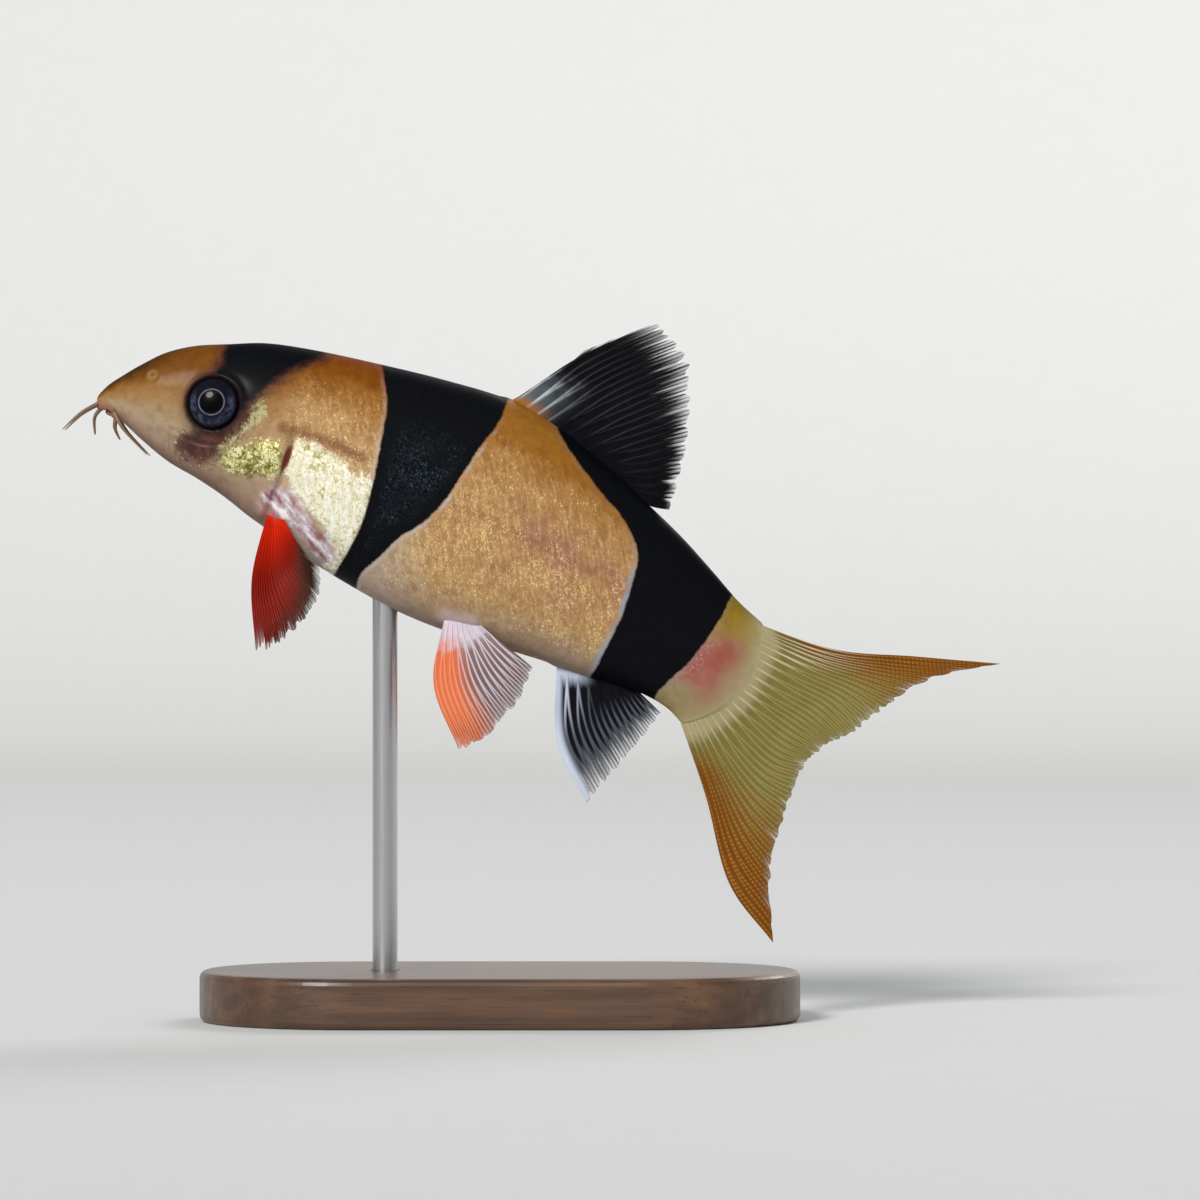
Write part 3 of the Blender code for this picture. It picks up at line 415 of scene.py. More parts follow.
def distance_to(points, *coordinates):
    """The distance of places from a line of points."""
    nearest = np.full(coordinates[0].shape, 1e9)
    for start, end in zip(points[:-1], points[1:]):
        run = end - start
        share = sum((c - s) * r for c, s, r in zip(coordinates, start, run)) / np.dot(run, run)
        share = np.clip(share, 0, 1)
        gap = sum((c - s - share * r) ** 2 for c, s, r in zip(coordinates, start, run))
        nearest = np.minimum(nearest, gap)
    return np.sqrt(nearest)


def lip_arc(lip):
    turn = np.linspace(-LIP_SWEEP, LIP_SWEEP, LIP_SAMPLES)
    return np.stack([lip["back"] - lip["reach"] * np.cos(turn), lip["half_width"] * np.sin(turn)], axis=1)


def mouth_relief(points):
    """Lips, the line between them, and how much each point is lip or mouth line."""
    rear = flat(math.cos(MOUTH_SLOPE), math.sin(MOUTH_SLOPE))
    facing = flat(math.sin(MOUTH_SLOPE), -math.cos(MOUTH_SLOPE))
    local = points - flat(*MOUTH_CENTRE)
    u, v, w = local @ rear, points[..., 1], local @ facing
    under = smooth_step(-1.3, -0.5, w) * smooth_step(3.4, 2.4, np.hypot(u, v))
    rise, lip_share = np.zeros(u.shape), np.zeros(u.shape)
    for lip in (UPPER_LIP, LOWER_LIP):
        gap = distance_to(lip_arc(lip), u, v) / (lip["thickness"] * 1.08)
        tube = np.sqrt(np.clip(1 - gap**2, 0, None)) * lip["thickness"] * 0.85
        rise = np.maximum(rise, tube * under)
        lip_share = np.maximum(lip_share, smooth_step(1.4, 0.5, gap) * under)
    slit = hill(distance_to(lip_arc(MOUTH_LINE), u, v), MOUTH_LINE["thickness"]) * under
    return rise * (1 - slit) - MOUTH_LINE_DEPTH * slit, lip_share, slit


def disc_distance(points, centre, normal):
    """Distance from an axis that runs through centre, for points near it."""
    local = points - centre
    along = local @ normal
    return np.linalg.norm(local - along[..., None] * normal, axis=-1) + 10 * (np.abs(along) > 2.5)


def ridge(distance, rise, middle, width):
    """A rise of the skin, highest where the distance is middle. Below 0 it is a trench."""
    return rise * hill(distance - middle, width)


def fin_bases():
    """For each kind of fin, a line of points where it leaves the body."""
    dorsal = through(BACK_LINE, np.linspace(*DORSAL_BASE, 9))
    anal = through(BELLY_LINE, np.linspace(*ANAL_BASE, 7))
    bases = dict(dorsal=[flat(*point) for point in dorsal], anal=[flat(*point) for point in anal])
    for name, shape in (("pectoral", PECTORAL), ("pelvic", PELVIC)):
        bases[name] = [skin_frame(*along_points(shape["roots"], share))[0] for share in spread(4)]
    return bases


def relief(points, normals):
    """How far the skin stands off the plain body, and the masks that colour follows."""
    x, z = points[..., 0], points[..., 2]
    left = np.where(points[..., 1:2] > 0, mirrored(points), points)
    side = np.abs(normals[..., 1])
    on_side = smooth_step(0.45, 0.7, side)

    low, full, fading, high = GILL_COVER_LEVELS
    level = smooth_step(low, full, z) * (1 - smooth_step(fading, high, z)) * side**0.5
    past_gill, over_slit = x - gill_line(z), z - GILL_SLIT_LEVEL
    cover = level * smooth_step(GILL_COVER_FRONT, gill_line(z), x) * smooth_step(0.10, -0.12, past_gill)
    slit = level * hill(past_gill - 0.22, 0.24) * (0.25 + 0.75 * hill(over_slit, 3.2))
    off = GILL_COVER_RISE * cover - GILL_SLIT_DEPTH * slit

    eye_rim = disc_distance(left, *skin_frame(*EYE_CENTRE)) - EYE_RADIUS
    off = off + ridge(eye_rim, *EYE_RIM) * (eye_rim > 0) + ridge(eye_rim, *EYE_FOLD)
    off = off - EYE_SOCKET_DEPTH * smooth_step(0.16, -0.22, eye_rim)

    nostril = disc_distance(left, *skin_frame(*NOSTRIL_CENTRE))
    nostril_pit = smooth_step(0.26, 0.08, nostril)
    off = off + ridge(nostril, *NOSTRIL_RIM) - NOSTRIL_PIT_DEPTH * nostril_pit

    spine = distance_to(along_points(SPINE_GROOVE, spread(12)), x, z)
    off = off + on_side * (ridge(spine, *SPINE_RIMS) + ridge(spine, *SPINE_TRENCH))
    groove = distance_to(np.array(SHOULDER_GROOVE), x, z)
    off = off + on_side * (ridge(groove, *SHOULDER_RIMS) + ridge(groove, *SHOULDER_TRENCH))
    lateral_places = np.linspace(LATERAL_LINE_START, TAIL_BASE, LATERAL_LINE_SAMPLES)
    lateral = distance_to(through((BACK_LINE + BELLY_LINE) / 2, lateral_places), x, z)
    off = off + ridge(lateral, *LATERAL_TRENCH) * smooth_step(-23, -20, x)

    mouth, lip, mouth_slit = mouth_relief(points)
    off = off + mouth
    gill = hill(past_gill - 0.10 - 0.10 * over_slit, 0.40) * hill(over_slit, 1.9) * on_side
    masks = dict(
        gill=gill, gill_slit_shade=slit, eye_rim=eye_rim, nostril=ridge(nostril, 1, *NOSTRIL_RIM[1:]),
        pit=nostril_pit, lip=lip, mouth=mouth_slit, spine=hill(spine, 0.3) * on_side,
        groove=hill(groove, 0.8) * on_side, lateral=hill(lateral, 0.5),
    )
    for name, line in fin_bases().items():
        height, width = FIN_SWELLING[name]
        base = hill(distance_to(np.array(line), *np.moveaxis(left, -1, 0)), width)
        off = off + height * base
        masks[f"{name}_base"] = base
    return off, masks


def marking_masks(points, height, place):
    """Masks of the markings, which depend on where the skin lies seen from the side."""
    x, z = points[..., 0], points[..., 2]
    head, middle, tail = (region(outline, x, z) for outline in (HEAD_BAND, MIDDLE_BAND, TAIL_BAND))
    near_middle = (middle > head) & (middle > tail)
    near_tail = (tail > head) & (tail > middle)
    front_of_middle = x < -9.0 - (74 - z) * 0.42
    front_of_tail = x < 19 - (50 - z) * 0.25
    line = np.where(near_middle & front_of_middle, 0.55 * smooth_step(78.5, 75.0, z), 0.0)
    line = np.where(near_middle & ~front_of_middle, smooth_step(73.0, 68.0, z) * 0.75, line)
    line = np.where(near_tail & front_of_tail, 0.12 + 0.88 * smooth_step(58.0, 54.0, z), line)
    line = np.where(near_tail & ~front_of_tail, 0.15, line)
    gap_depth = -np.maximum.reduce([head, middle, tail])
    flank = smooth_step(9.3, 10.2, place) * smooth_step(0.02, 0.14, height) * smooth_step(0.92, 0.70, height)
    teal_rows = smooth_step(0.86, 0.55, height) * smooth_step(0.04, 0.25, height)
    spot_x, spot_z = TEAL_SPOT
    return {name: region(outline, x, z) for name, outline in PATCHES.items()} | dict(
        head_band=head,
        band=np.maximum(middle, tail),
        line=line,
        line_blue=np.where(near_tail, 1.0, 0.35),
        teal=smooth_step(0.4, 2.6, middle) * teal_rows,
        glitter=flank * smooth_step(0.0, 1.2, gap_depth) * smooth_step(17.6, 17.0, place),
        spot=hill(np.hypot(x - spot_x, z - spot_z), 1.1),
        height=height,
        station=place,
    )


def new_piece(name, vertices, faces, material):
    mesh = bpy.data.meshes.new(name)
    mesh.from_pydata((np.asarray(vertices).reshape(-1, 3) * MM).tolist(), [], faces)
    mesh.shade_smooth()
    mesh.materials.append(material)
    piece = bpy.data.objects.new(name, mesh)
    bpy.context.scene.collection.objects.link(piece)
    return piece


def dress(piece, slot, *nodes):
    """Shows a piece in place of the solids of its nodes."""
    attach(piece, "root")
    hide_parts(*nodes)


def add_masks(piece, masks):
    for name, values in masks.items():
        layer = piece.data.attributes.new(name, "FLOAT", "POINT")
        layer.data.foreach_set("value", np.asarray(values, np.float32).ravel())


def grid_faces(rows, columns, start=0, closed=False, flip=False):
    """Quads of a grid of vertices, row by row. closed joins the last column to the first."""
    steps = columns if closed else columns - 1
    row, column = np.meshgrid(np.arange(rows - 1) * columns, np.arange(steps), indexing="ij")
    beside = (column + 1) % columns
    corners = [row + column, row + beside, row + columns + beside, row + columns + column]
    faces = np.stack(corners, axis=-1).reshape(-1, 4) + start
    return (faces[:, ::-1] if flip else faces).tolist()


def grid_uv(rows, columns, corner, size, flip=False):
    """Places on the map for the corners of rows by columns quads, spread over a rectangle."""
    row, column = np.meshgrid(np.arange(rows), np.arange(columns), indexing="ij")
    u = np.stack([column, column + 1, column + 1, column], axis=-1) / columns * size[0] + corner[0]
    v = np.stack([row, row, row + 1, row + 1], axis=-1) / rows * size[1] + corner[1]
    places = np.stack([u, v], axis=-1)
    return (places[..., ::-1, :] if flip else places).reshape(-1, 2)


def add_uv(piece, *parts):
    layer = piece.data.uv_layers.new(name="OFBake")
    layer.data.foreach_set("uv", np.concatenate(parts).astype(np.float32).ravel())


def surface_normals(points, wrap):
    """Normals of a grid of points, rows rearward and columns round the body."""
    if wrap:
        around = np.roll(points, -1, axis=1) - np.roll(points, 1, axis=1)
    else:
        around = np.gradient(points, axis=1)
    return unit(np.cross(around, np.gradient(points, axis=0)))


def weld(piece):
    """Joins the vertices that meet at a pole."""
    work = bmesh.new()
    work.from_mesh(piece.data)
    bmesh.ops.remove_doubles(work, verts=work.verts, dist=1e-7)
    bmesh.ops.recalc_face_normals(work, faces=work.faces)
    work.to_mesh(piece.data)
    work.free()
    piece.data.shade_smooth()


def skin_grid():
    """Stations and turns of the skin's vertices, with one row along the gill opening."""
    turn = turns(SKIN_COLUMNS)
    gill = gill_places(turn)
    head = (np.arange(1, HEAD_ROWS + 1) / HEAD_ROWS) ** HEAD_ROW_CROWDING
    body = np.arange(1, BODY_ROWS + 1) / BODY_ROWS
    place = np.concatenate([gill * head[:, None], gill + (TAIL_BASE - gill) * body[:, None]])
    return place, np.broadcast_to(turn, place.shape)


def skin_end(ring):
    """Rows that thin the flesh out over the roots of the tail fin, and how far each is past the base."""
    across = unit(BACK_LINE[-1] - BELLY_LINE[-1])
    rearward = flat(across[1], -across[0])
    share = np.arange(1, END_ROWS + 1) / END_ROWS
    level = (ring[:, 2] - ring[:, 2].min()) / np.ptp(ring[:, 2])
    reach = END_REACH * np.clip(np.sin(math.pi * level), 0, 1) ** 0.5
    left = (1 - share) ** 2
    thickness = (1 + 2 * share) * left + END_SLOPE * share * left + 0.01
    rows = []
    for part, thick in zip(share, thickness):
        rows.append(ring * np.array([1, thick, 1]) + rearward * (reach * part)[:, None])
    return np.array(rows), share


def tip_uv():
    """Two discs on the map, for the fans of triangles that close the skin's ends."""
    places = []
    for start, end in zip(turns(SKIN_COLUMNS), turns(SKIN_COLUMNS) + 2 * math.pi / SKIN_COLUMNS):
        for centre, order in (((0.03, 0.03), (end, start)), ((0.09, 0.03), (start, end))):
            places += [(centre[0] + 0.02 * math.cos(t), centre[1] + 0.02 * math.sin(t)) for t in order]
            places.append(centre)
    return np.array(places)


def add_skin(material):
    """One closed skin from the snout to the tail fin, with a point at each end."""
    place, turn = skin_grid()
    points, height = body_points(place, turn)
    normals = surface_normals(points, wrap=True)
    off, masks = relief(points, normals)
    masks.update(marking_masks(points, height, place))
    points = points + normals * off[..., None]
    past_start = np.clip((place - END_THINNING_START) / (TAIL_BASE - END_THINNING_START), 0, 1)
    points[..., 1] *= 1 - END_THINNING * past_start**2
    end_points, past = skin_end(points[-1])
    points = swayed(np.concatenate([points, end_points]))
    masks["past_base"] = np.zeros(height.shape)
    for name, values in masks.items():
        masks[name] = np.concatenate([values, np.repeat(values[-1:], END_ROWS, axis=0)])
    masks["past_base"][-END_ROWS:] = past[:, None]
    for name, values in masks.items():
        masks[name] = np.concatenate([values.ravel(), [values[0].mean(), values[-1].mean()]])

    rows = len(points)
    count = rows * SKIN_COLUMNS
    last = count - SKIN_COLUMNS
    faces = grid_faces(rows, SKIN_COLUMNS, closed=True)
    for i in range(SKIN_COLUMNS):
        j = (i + 1) % SKIN_COLUMNS
        faces += [(j, i, count), (last + i, last + j, count + 1)]
    tips = [swayed(flat(*STATIONS[0][0])), points[-1].mean(axis=0)]
    piece = new_piece("skin", np.concatenate([points.reshape(-1, 3), tips]), faces, material)
    add_masks(piece, masks)
    add_uv(piece, grid_uv(rows - 1, SKIN_COLUMNS, (0.01, 0.06), (0.98, 0.93)), tip_uv())
    dress(piece, "skin", "head", "torso", "tail_stem")


def add_eyes(material):
    """Flattened balls. Their masks are places across the eye, for the iris."""
    skin, normal = skin_frame(*EYE_CENTRE)
    centre = skin - normal * EYE_SUNK
    up = unit(np.cross(normal, np.cross(np.array([0, 0, 1.0]), normal)))
    rear = np.cross(normal, up)
    rear *= np.sign(rear[0])
    slope = np.linspace(0, math.pi, EYE_ROWS)[:, None, None]
    turn = turns(EYE_COLUMNS)[:, None]
    across = np.cos(turn) * rear + np.sin(turn) * up
    points = centre + EYE_RADIUS * np.sin(slope) * across + EYE_HALF_DEPTH * np.cos(slope) * normal
    for name, turned in SIDES.items():
        faces = grid_faces(EYE_ROWS, EYE_COLUMNS, closed=True, flip=name == "left")
        piece = new_piece(f"eye_{name}_wet", turned(points), faces, material)
        weld(piece)
        local = turned([vertex.co for vertex in piece.data.vertices]) / MM - centre
        add_masks(piece, dict(eye_a=local @ rear / EYE_RADIUS, eye_b=local @ up / EYE_RADIUS))
        dress(piece, "eye", f"eye_{name}")


def ray_gap(offset, along):
    """How far a place lies from the nearest branch of its ray, in shares of the space between rays."""
    first = FIRST_SPREAD * smooth_step(*FIRST_FORK, along)
    second = SECOND_SPREAD * smooth_step(*SECOND_FORK, along)
    return np.abs(np.abs(np.abs(offset) - first) - second)


def ragged_reach(place, count, notch, random):
    """How far out the margin lies at each place, as a share. It falls back between the rays."""
    tips = 1 - TIP_SCATTER * random.random(TIPS_PER_RAY * (count + 1))
    tips[:TIPS_PER_RAY] = tips[TIPS_PER_RAY * (count - 2) : TIPS_PER_RAY * count] = 1
    reach = through(tips, place * TIPS_PER_RAY)
    depth = 0.4 + 0.6 * random.random(count + 1)[np.floor(place).astype(int)]
    split = hill(np.abs(place - np.round(place)) - 0.5, SPLIT_WIDTH) * depth
    return np.minimum(1, reach) - notch * split


def add_fin(name, nodes, slot, rays, material, rows, columns, root_half, root_reach, notch, ripple, seed):
    """A fine fin over the CAD fin's rays, each a list of points from root to tip, in millimetres. columns
    is the count in each space between two rays."""
    random = np.random.default_rng(seed)
    last = len(rays) - 1
    place = np.linspace(0, last, last * columns + 1)
    across = place / last
    along = spread(rows) ** FIN_ROW_CROWDING
    reach = ragged_reach(place, len(rays), notch, random)
    lines = through([along_points(ray, spread(RAY_SAMPLES)) for ray in rays], place)
    grid = [along_points(line, np.clip(along * part, 0, 1)) for line, part in zip(lines, reach)]
    grid = np.stack(grid, axis=1)
    along = along[:, None]
    distance = np.cumsum(np.linalg.norm(np.diff(grid, axis=0, prepend=grid[:1]), axis=-1), axis=0)

    ray = hill(ray_gap(place - np.round(place), along), RAY_WIDTH - RAY_TAPER * along)
    ray = np.maximum(ray, hill(place, LEAD_WIDTH))
    joint = 0.5 + 0.5 * np.cos(2 * math.pi * distance / JOINT_LENGTH)
    rise = RAY_RIDGE * ray * (1 - RIDGE_TAPER * along)
    rise = rise * (1 - JOINT_NOTCH * joint * smooth_step(0.2, 0.4, along))
    rise = rise * smooth_step(0.5, root_reach, distance)
    root = root_half * np.sqrt(np.clip(1 - (2 * across - 1) ** 2, 0.05, 1))
    web = root + (MEMBRANE * (1 - WEB_TAPER * along) - root) * smooth_step(0.3, root_reach, distance)
    half = FIN_EDGE + (web + rise - FIN_EDGE) * smooth_step(1.0, MARGIN_START, along)
    normals = surface_normals(grid, wrap=False)
    phase = random.uniform(0, 2 * math.pi)
    wave = ripple * along**1.6 * np.sin(across * 2 * math.pi * RIPPLES + phase)
    middle = swayed(grid + normals * wave[..., None])
    masks = dict(place=place, along=along, distance=distance, across=across)
    dress(plate(name, middle, normals * half[..., None], masks, material), slot, *nodes)


def plate(name, middle, half, masks, material):
    """A closed plate, half to each side of a grid of points, with a rim that joins its two faces."""
    rows, columns, _ = middle.shape
    count = rows * columns
    faces = grid_faces(rows, columns) + grid_faces(rows, columns, start=count, flip=True)
    rim = [(0, j) for j in range(columns - 1)] + [(i, columns - 1) for i in range(rows - 1)]
    rim += [(rows - 1, j) for j in range(columns - 1, 0, -1)] + [(i, 0) for i in range(rows - 1, 0, -1)]
    for (i, j), (k, m) in zip(rim, rim[1:] + rim[:1]):
        near, far = i * columns + j, k * columns + m
        faces.append((near + count, far + count, far, near))
    piece = new_piece(name, np.stack([middle + half, middle - half]), faces, material)
    for key, value in masks.items():
        masks[key] = np.tile(np.broadcast_to(value, (rows, columns)).ravel(), 2)
    add_masks(piece, masks)
    front = grid_uv(rows - 1, columns - 1, (0.01, 0.01), (0.47, 0.9))
    back = grid_uv(rows - 1, columns - 1, (0.51, 0.01), (0.47, 0.9), flip=True)
    add_uv(piece, front, back, grid_uv(1, len(rim), (0.01, 0.94), (0.97, 0.02)))
    return piece


def median_rays(line, base, inward, middles, tips, count):
    """Rays of a fin on the middle line of the body, rooted between two stations."""
    rays = []
    for share in spread(count):
        root = flat(*through(line, base[0] + (base[1] - base[0]) * share))
        outer = [flat(*along_points(points, share)) for points in (middles, tips)]
        rays.append([root + np.array(inward) * ROOT_DEPTH, *outer])
    return rays


def add_dorsal_fin(material):
    rays = median_rays(BACK_LINE, DORSAL_BASE, (-0.3, 0, -1), DORSAL_MIDDLES, DORSAL_TIPS, 13)
    root = rays[0][0] + np.array([-0.9, 0, 0.2])
    rays.insert(0, [root, *(flat(*point) for point in DORSAL_SPLINT)])
    add_fin(
        "dorsal_fin_fine", ["dorsal_fin"], "dark_fin", rays, material, rows=96, columns=24, root_half=0.7,
        root_reach=3.4, notch=0.06, ripple=0.35, seed=3,
    )


def add_anal_fin(material):
    rays = median_rays(BELLY_LINE, ANAL_BASE, (0, 0, 1), ANAL_MIDDLES, ANAL_TIPS, 9)
    add_fin(
        "anal_fin_fine", ["anal_fin"], "dark_fin", rays, material, rows=84, columns=24, root_half=0.65,
        root_reach=2.8, notch=0.06, ripple=0.3, seed=4,
    )


def add_tail_fin(material):
    """Both lobes in one web, so that no seam shows between them."""
    upper, lower = flat(*UPPER_LOBE[0][0]), flat(*LOWER_LOBE[0][0])
    across = unit(upper - lower)
    inward = flat(-across[2], across[0]) * TAIL_ROOT_DEPTH
    shares = spread(TAIL_RAYS) ** TAIL_RAY_SPREAD
    rays = []
    for lobe, order in ((UPPER_LOBE, shares), (LOWER_LOBE, shares[::-1][1:])):
        for share in order:
            ray = [flat(*along_points(points, share)) for points in lobe]
            ray[0] = ray[0] + inward + ((upper + lower) / 2 - ray[0]) * TAIL_ROOT_SQUEEZE
            rays.append(ray)
    add_fin(
        "tail_fin_fine", ["tail_fin_upper", "tail_fin_lower"], "tail_fin", rays, material, rows=104,
        columns=18, root_half=0.62, root_reach=6.0, notch=0.012, ripple=0.35, seed=5,
    )


def add_paired_fins(name, shape, count, material, slot, seed):
    rays = []
    for share in spread(count):
        root, middle, tip = (along_points(shape[key], share) for key in ("roots", "middles", "tips"))
        out = shape["splay"][0] + (shape["splay"][1] - shape["splay"][0]) * share
        skin, normal = skin_frame(*root)
        outer = [flat(*middle, skin[1] - out * 0.6), flat(*tip, skin[1] - out)]
        rays.append([skin - normal * ROOT_DEPTH, *outer])
    for side, turned in SIDES.items():
        node = f"{name}_fin_{side}"
        add_fin(
            f"{node}_fine", [node], slot, [turned(ray) for ray in rays], material, rows=80, columns=20,
            root_half=0.55, root_reach=2.6, notch=0.05, ripple=0.3, seed=seed,
        )


def add_barbels(material):
    share = spread(BARBEL_ROWS)
    past_start = np.clip((share - BARBEL_TIP_START) / (1 - BARBEL_TIP_START), 0, 1)
    radius = BARBEL_TIP_RADIUS + (BARBEL_ROOT_RADIUS - BARBEL_TIP_RADIUS) * (1 - share) ** BARBEL_TAPER
    depth, wrinkles = BARBEL_WRINKLES
    radius = radius * np.sqrt(np.clip(1 - past_start**2, 0.0004, 1)) * (1 + depth * np.sin(share * wrinkles))
    turn = turns(BARBEL_COLUMNS)[:, None]
    count = BARBEL_ROWS * BARBEL_COLUMNS
    caps = [list(range(BARBEL_COLUMNS)), list(range(count - BARBEL_COLUMNS, count))]
    for name, knots in BARBELS.items():
        line = along_points(mirrored(knots), share)
        run = unit(np.gradient(line, axis=0))
        side = unit(np.cross(run, np.array([0, 1.0, 0.2])))
        ring = np.cos(turn) * side[:, None] + np.sin(turn) * np.cross(run, side)[:, None]
        points = line[:, None] + ring * radius[:, None, None]
        for word, turned in SIDES.items():
            faces = grid_faces(BARBEL_ROWS, BARBEL_COLUMNS, closed=True) + caps
            piece = new_piece(f"barbel_{name}_{word}_fine", turned(points), faces, material)
            add_masks(piece, dict(along=np.repeat(share, BARBEL_COLUMNS)))
            weld(piece)
            dress(piece, "barbel", f"barbel_{name}_{word}")


class Value:
    """A number or colour that a node gives. Arithmetic with it adds the nodes that work it out."""

    def __init__(self, look, socket):
        self.look, self.socket = look, socket

    def __add__(self, other):
        return self.look.math("ADD", self, other)

    def __sub__(self, other):
        return self.look.math("SUBTRACT", self, other)

    def __rsub__(self, other):
        return self.look.math("SUBTRACT", other, self)

    def __mul__(self, other):
        return self.look.math("MULTIPLY", self, other)

    def __truediv__(self, other):
        return self.look.math("DIVIDE", self, other)

    def __abs__(self):
        return self.look.math("ABSOLUTE", self)

    __radd__ = __add__
    __rmul__ = __mul__

    def larger(self, other):
        return self.look.math("MAXIMUM", self, other)

    def smaller(self, other):
        return self.look.math("MINIMUM", self, other)

    def step(self, low, high):
        """0 at low and 1 at high, with a smooth change between. low can be the larger of the two."""
        inputs = {"Value": self, "From Min": min(low, high), "From Max": max(low, high)}
        inputs.update({"To Min": low > high, "To Max": low <= high})
        return self.look.node("ShaderNodeMapRange", "Result", inputs, interpolation_type="SMOOTHSTEP")

    def bell(self, middle, width):
        """1 at middle, falling to 0 at width to either side."""
        return abs(self - middle).step(width, 0)

    def cover(self, colour, share, blend="MIX"):
        """This colour with a share of another over it."""
        return self.look.mix(share, self, colour, blend)


class Look:
    """One material. Each method adds a node and gives its result, and takes numbers, colours or results."""

    def __init__(self, name):
        self.material = bpy.data.materials.new(name)
        self.material.use_nodes = True
        self.tree = self.material.node_tree
        self.shader = self.tree.nodes["Principled BSDF"]

    def plug(self, socket, value):
        if isinstance(value, Value):
            self.tree.links.new(value.socket, socket)
        elif socket.type == "RGBA":
            socket.default_value = (*value, 1)
        else:
            socket.default_value = value

    def node(self, kind, output, inputs=None, **settings):
        """Adds a node and gives one of its outputs. inputs holds values by socket name or number."""
        made = self.tree.nodes.new(kind)
        for key, value in settings.items():
            setattr(made, key, value)
        for key, value in (inputs or {}).items():
            self.plug(made.inputs[key], value)
        return Value(self, made.outputs[output])

    def mask(self, name):
        return self.node("ShaderNodeAttribute", "Fac", attribute_name=name)

    def masks(self, *names):
        return SimpleNamespace(**{name: self.mask(name) for name in names})

    def place(self, scale=(1, 1, 1), lean=0):
        """Object coordinates in millimetres, leant by degrees as seen from the side, and stretched."""
        inputs = dict(
            Vector=self.node("ShaderNodeTexCoord", "Object"), Rotation=(0, math.radians(lean), 0),
            Scale=[MM * part for part in scale],
        )
        return self.node("ShaderNodeMapping", "Vector", inputs, vector_type="TEXTURE")

    def math(self, operation, first, second=0.0):
        return self.node("ShaderNodeMath", 0, {0: first, 1: second}, operation=operation)

    def mix(self, share, first, second, blend="MIX"):
        inputs = {0: share, 6: first, 7: second}
        return self.node("ShaderNodeMix", 2, inputs, data_type="RGBA", blend_type=blend)

    def ramp(self, value, *stops):
        made = self.node("ShaderNodeValToRGB", "Color", dict(Fac=value))
        elements = made.socket.node.color_ramp.elements
        while len(elements) < len(stops):
            elements.new(0.5)
        for element, (position, colour) in zip(elements, stops):
            element.position = position
            element.color = (*colour, 1)
        return made

    def noise(self, place, scale, detail=2.0, roughness=0.5):
        inputs = dict(Vector=place, Scale=scale, Detail=detail, Roughness=roughness)
        return self.node("ShaderNodeTexNoise", "Fac", inputs)

    def grid(self, across, along):
        """A place to look noise up in that has its own scale each way."""
        return self.node("ShaderNodeCombineXYZ", 0, {0: across, 1: along})

    def vector(self, operation, first, second=(0.0, 0.0, 0.0)):
        output = "Value" if operation == "DOT_PRODUCT" else "Vector"
        return self.node("ShaderNodeVectorMath", output, {0: first, 1: second}, operation=operation)

    def upright_normal(self, axis, reach):
        """The smooth normal of an upright shape with facets round it. Its outline lies at one distance from
        a rectangle about axis with the half size reach, in millimetres."""
        facet = self.node("ShaderNodeNewGeometry", "True Normal")
        place = self.vector("SUBTRACT", self.place(), (*axis, 0.0))
        place = self.vector("MULTIPLY", place, (1.0, 1.0, 0.0))
        nearest = self.vector("MAXIMUM", place, (-reach[0], -reach[1], 0.0))
        nearest = self.vector("MINIMUM", nearest, (*reach, 0.0))
        out = self.vector("NORMALIZE", self.vector("SUBTRACT", place, nearest))
        rise = self.vector("DOT_PRODUCT", facet, (0.0, 0.0, 1.0))
        side = self.math("SQRT", (1.0 - rise * rise).larger(0.0))
        side = side * self.math("SIGN", self.vector("DOT_PRODUCT", facet, out))
        turned = self.vector("MULTIPLY", out, self.grid(side, side))
        return self.vector("ADD", turned, self.vector("MULTIPLY", facet, (0.0, 0.0, 1.0)))

    def cells(self, place, scale):
        """Cells: the distance from each one's middle, and two random numbers for each."""
        distance = self.node("ShaderNodeTexVoronoi", "Distance", dict(Vector=place, Scale=scale))
        random = Value(self, distance.socket.node.outputs["Color"])
        return distance, *(self.node("ShaderNodeSeparateColor", part, {0: random}) for part in (0, 1))

    def bump(self, height, distance, strength, normal=None):
        inputs = dict(Strength=strength, Distance=distance * MM, Height=height)
        if normal:
            inputs["Normal"] = normal
        return self.node("ShaderNodeBump", "Normal", inputs)

    def finish(self, **values):
        names = dict(
            colour="Base Color", roughness="Roughness", metallic="Metallic", normal="Normal", alpha="Alpha",
            coat="Coat Weight", coat_roughness="Coat Roughness", specular="Specular IOR Level",
            subsurface="Subsurface Weight", subsurface_scale="Subsurface Scale",
        )
        for key, value in values.items():
            self.plug(self.shader.inputs[names[key]], value)
        return self.material


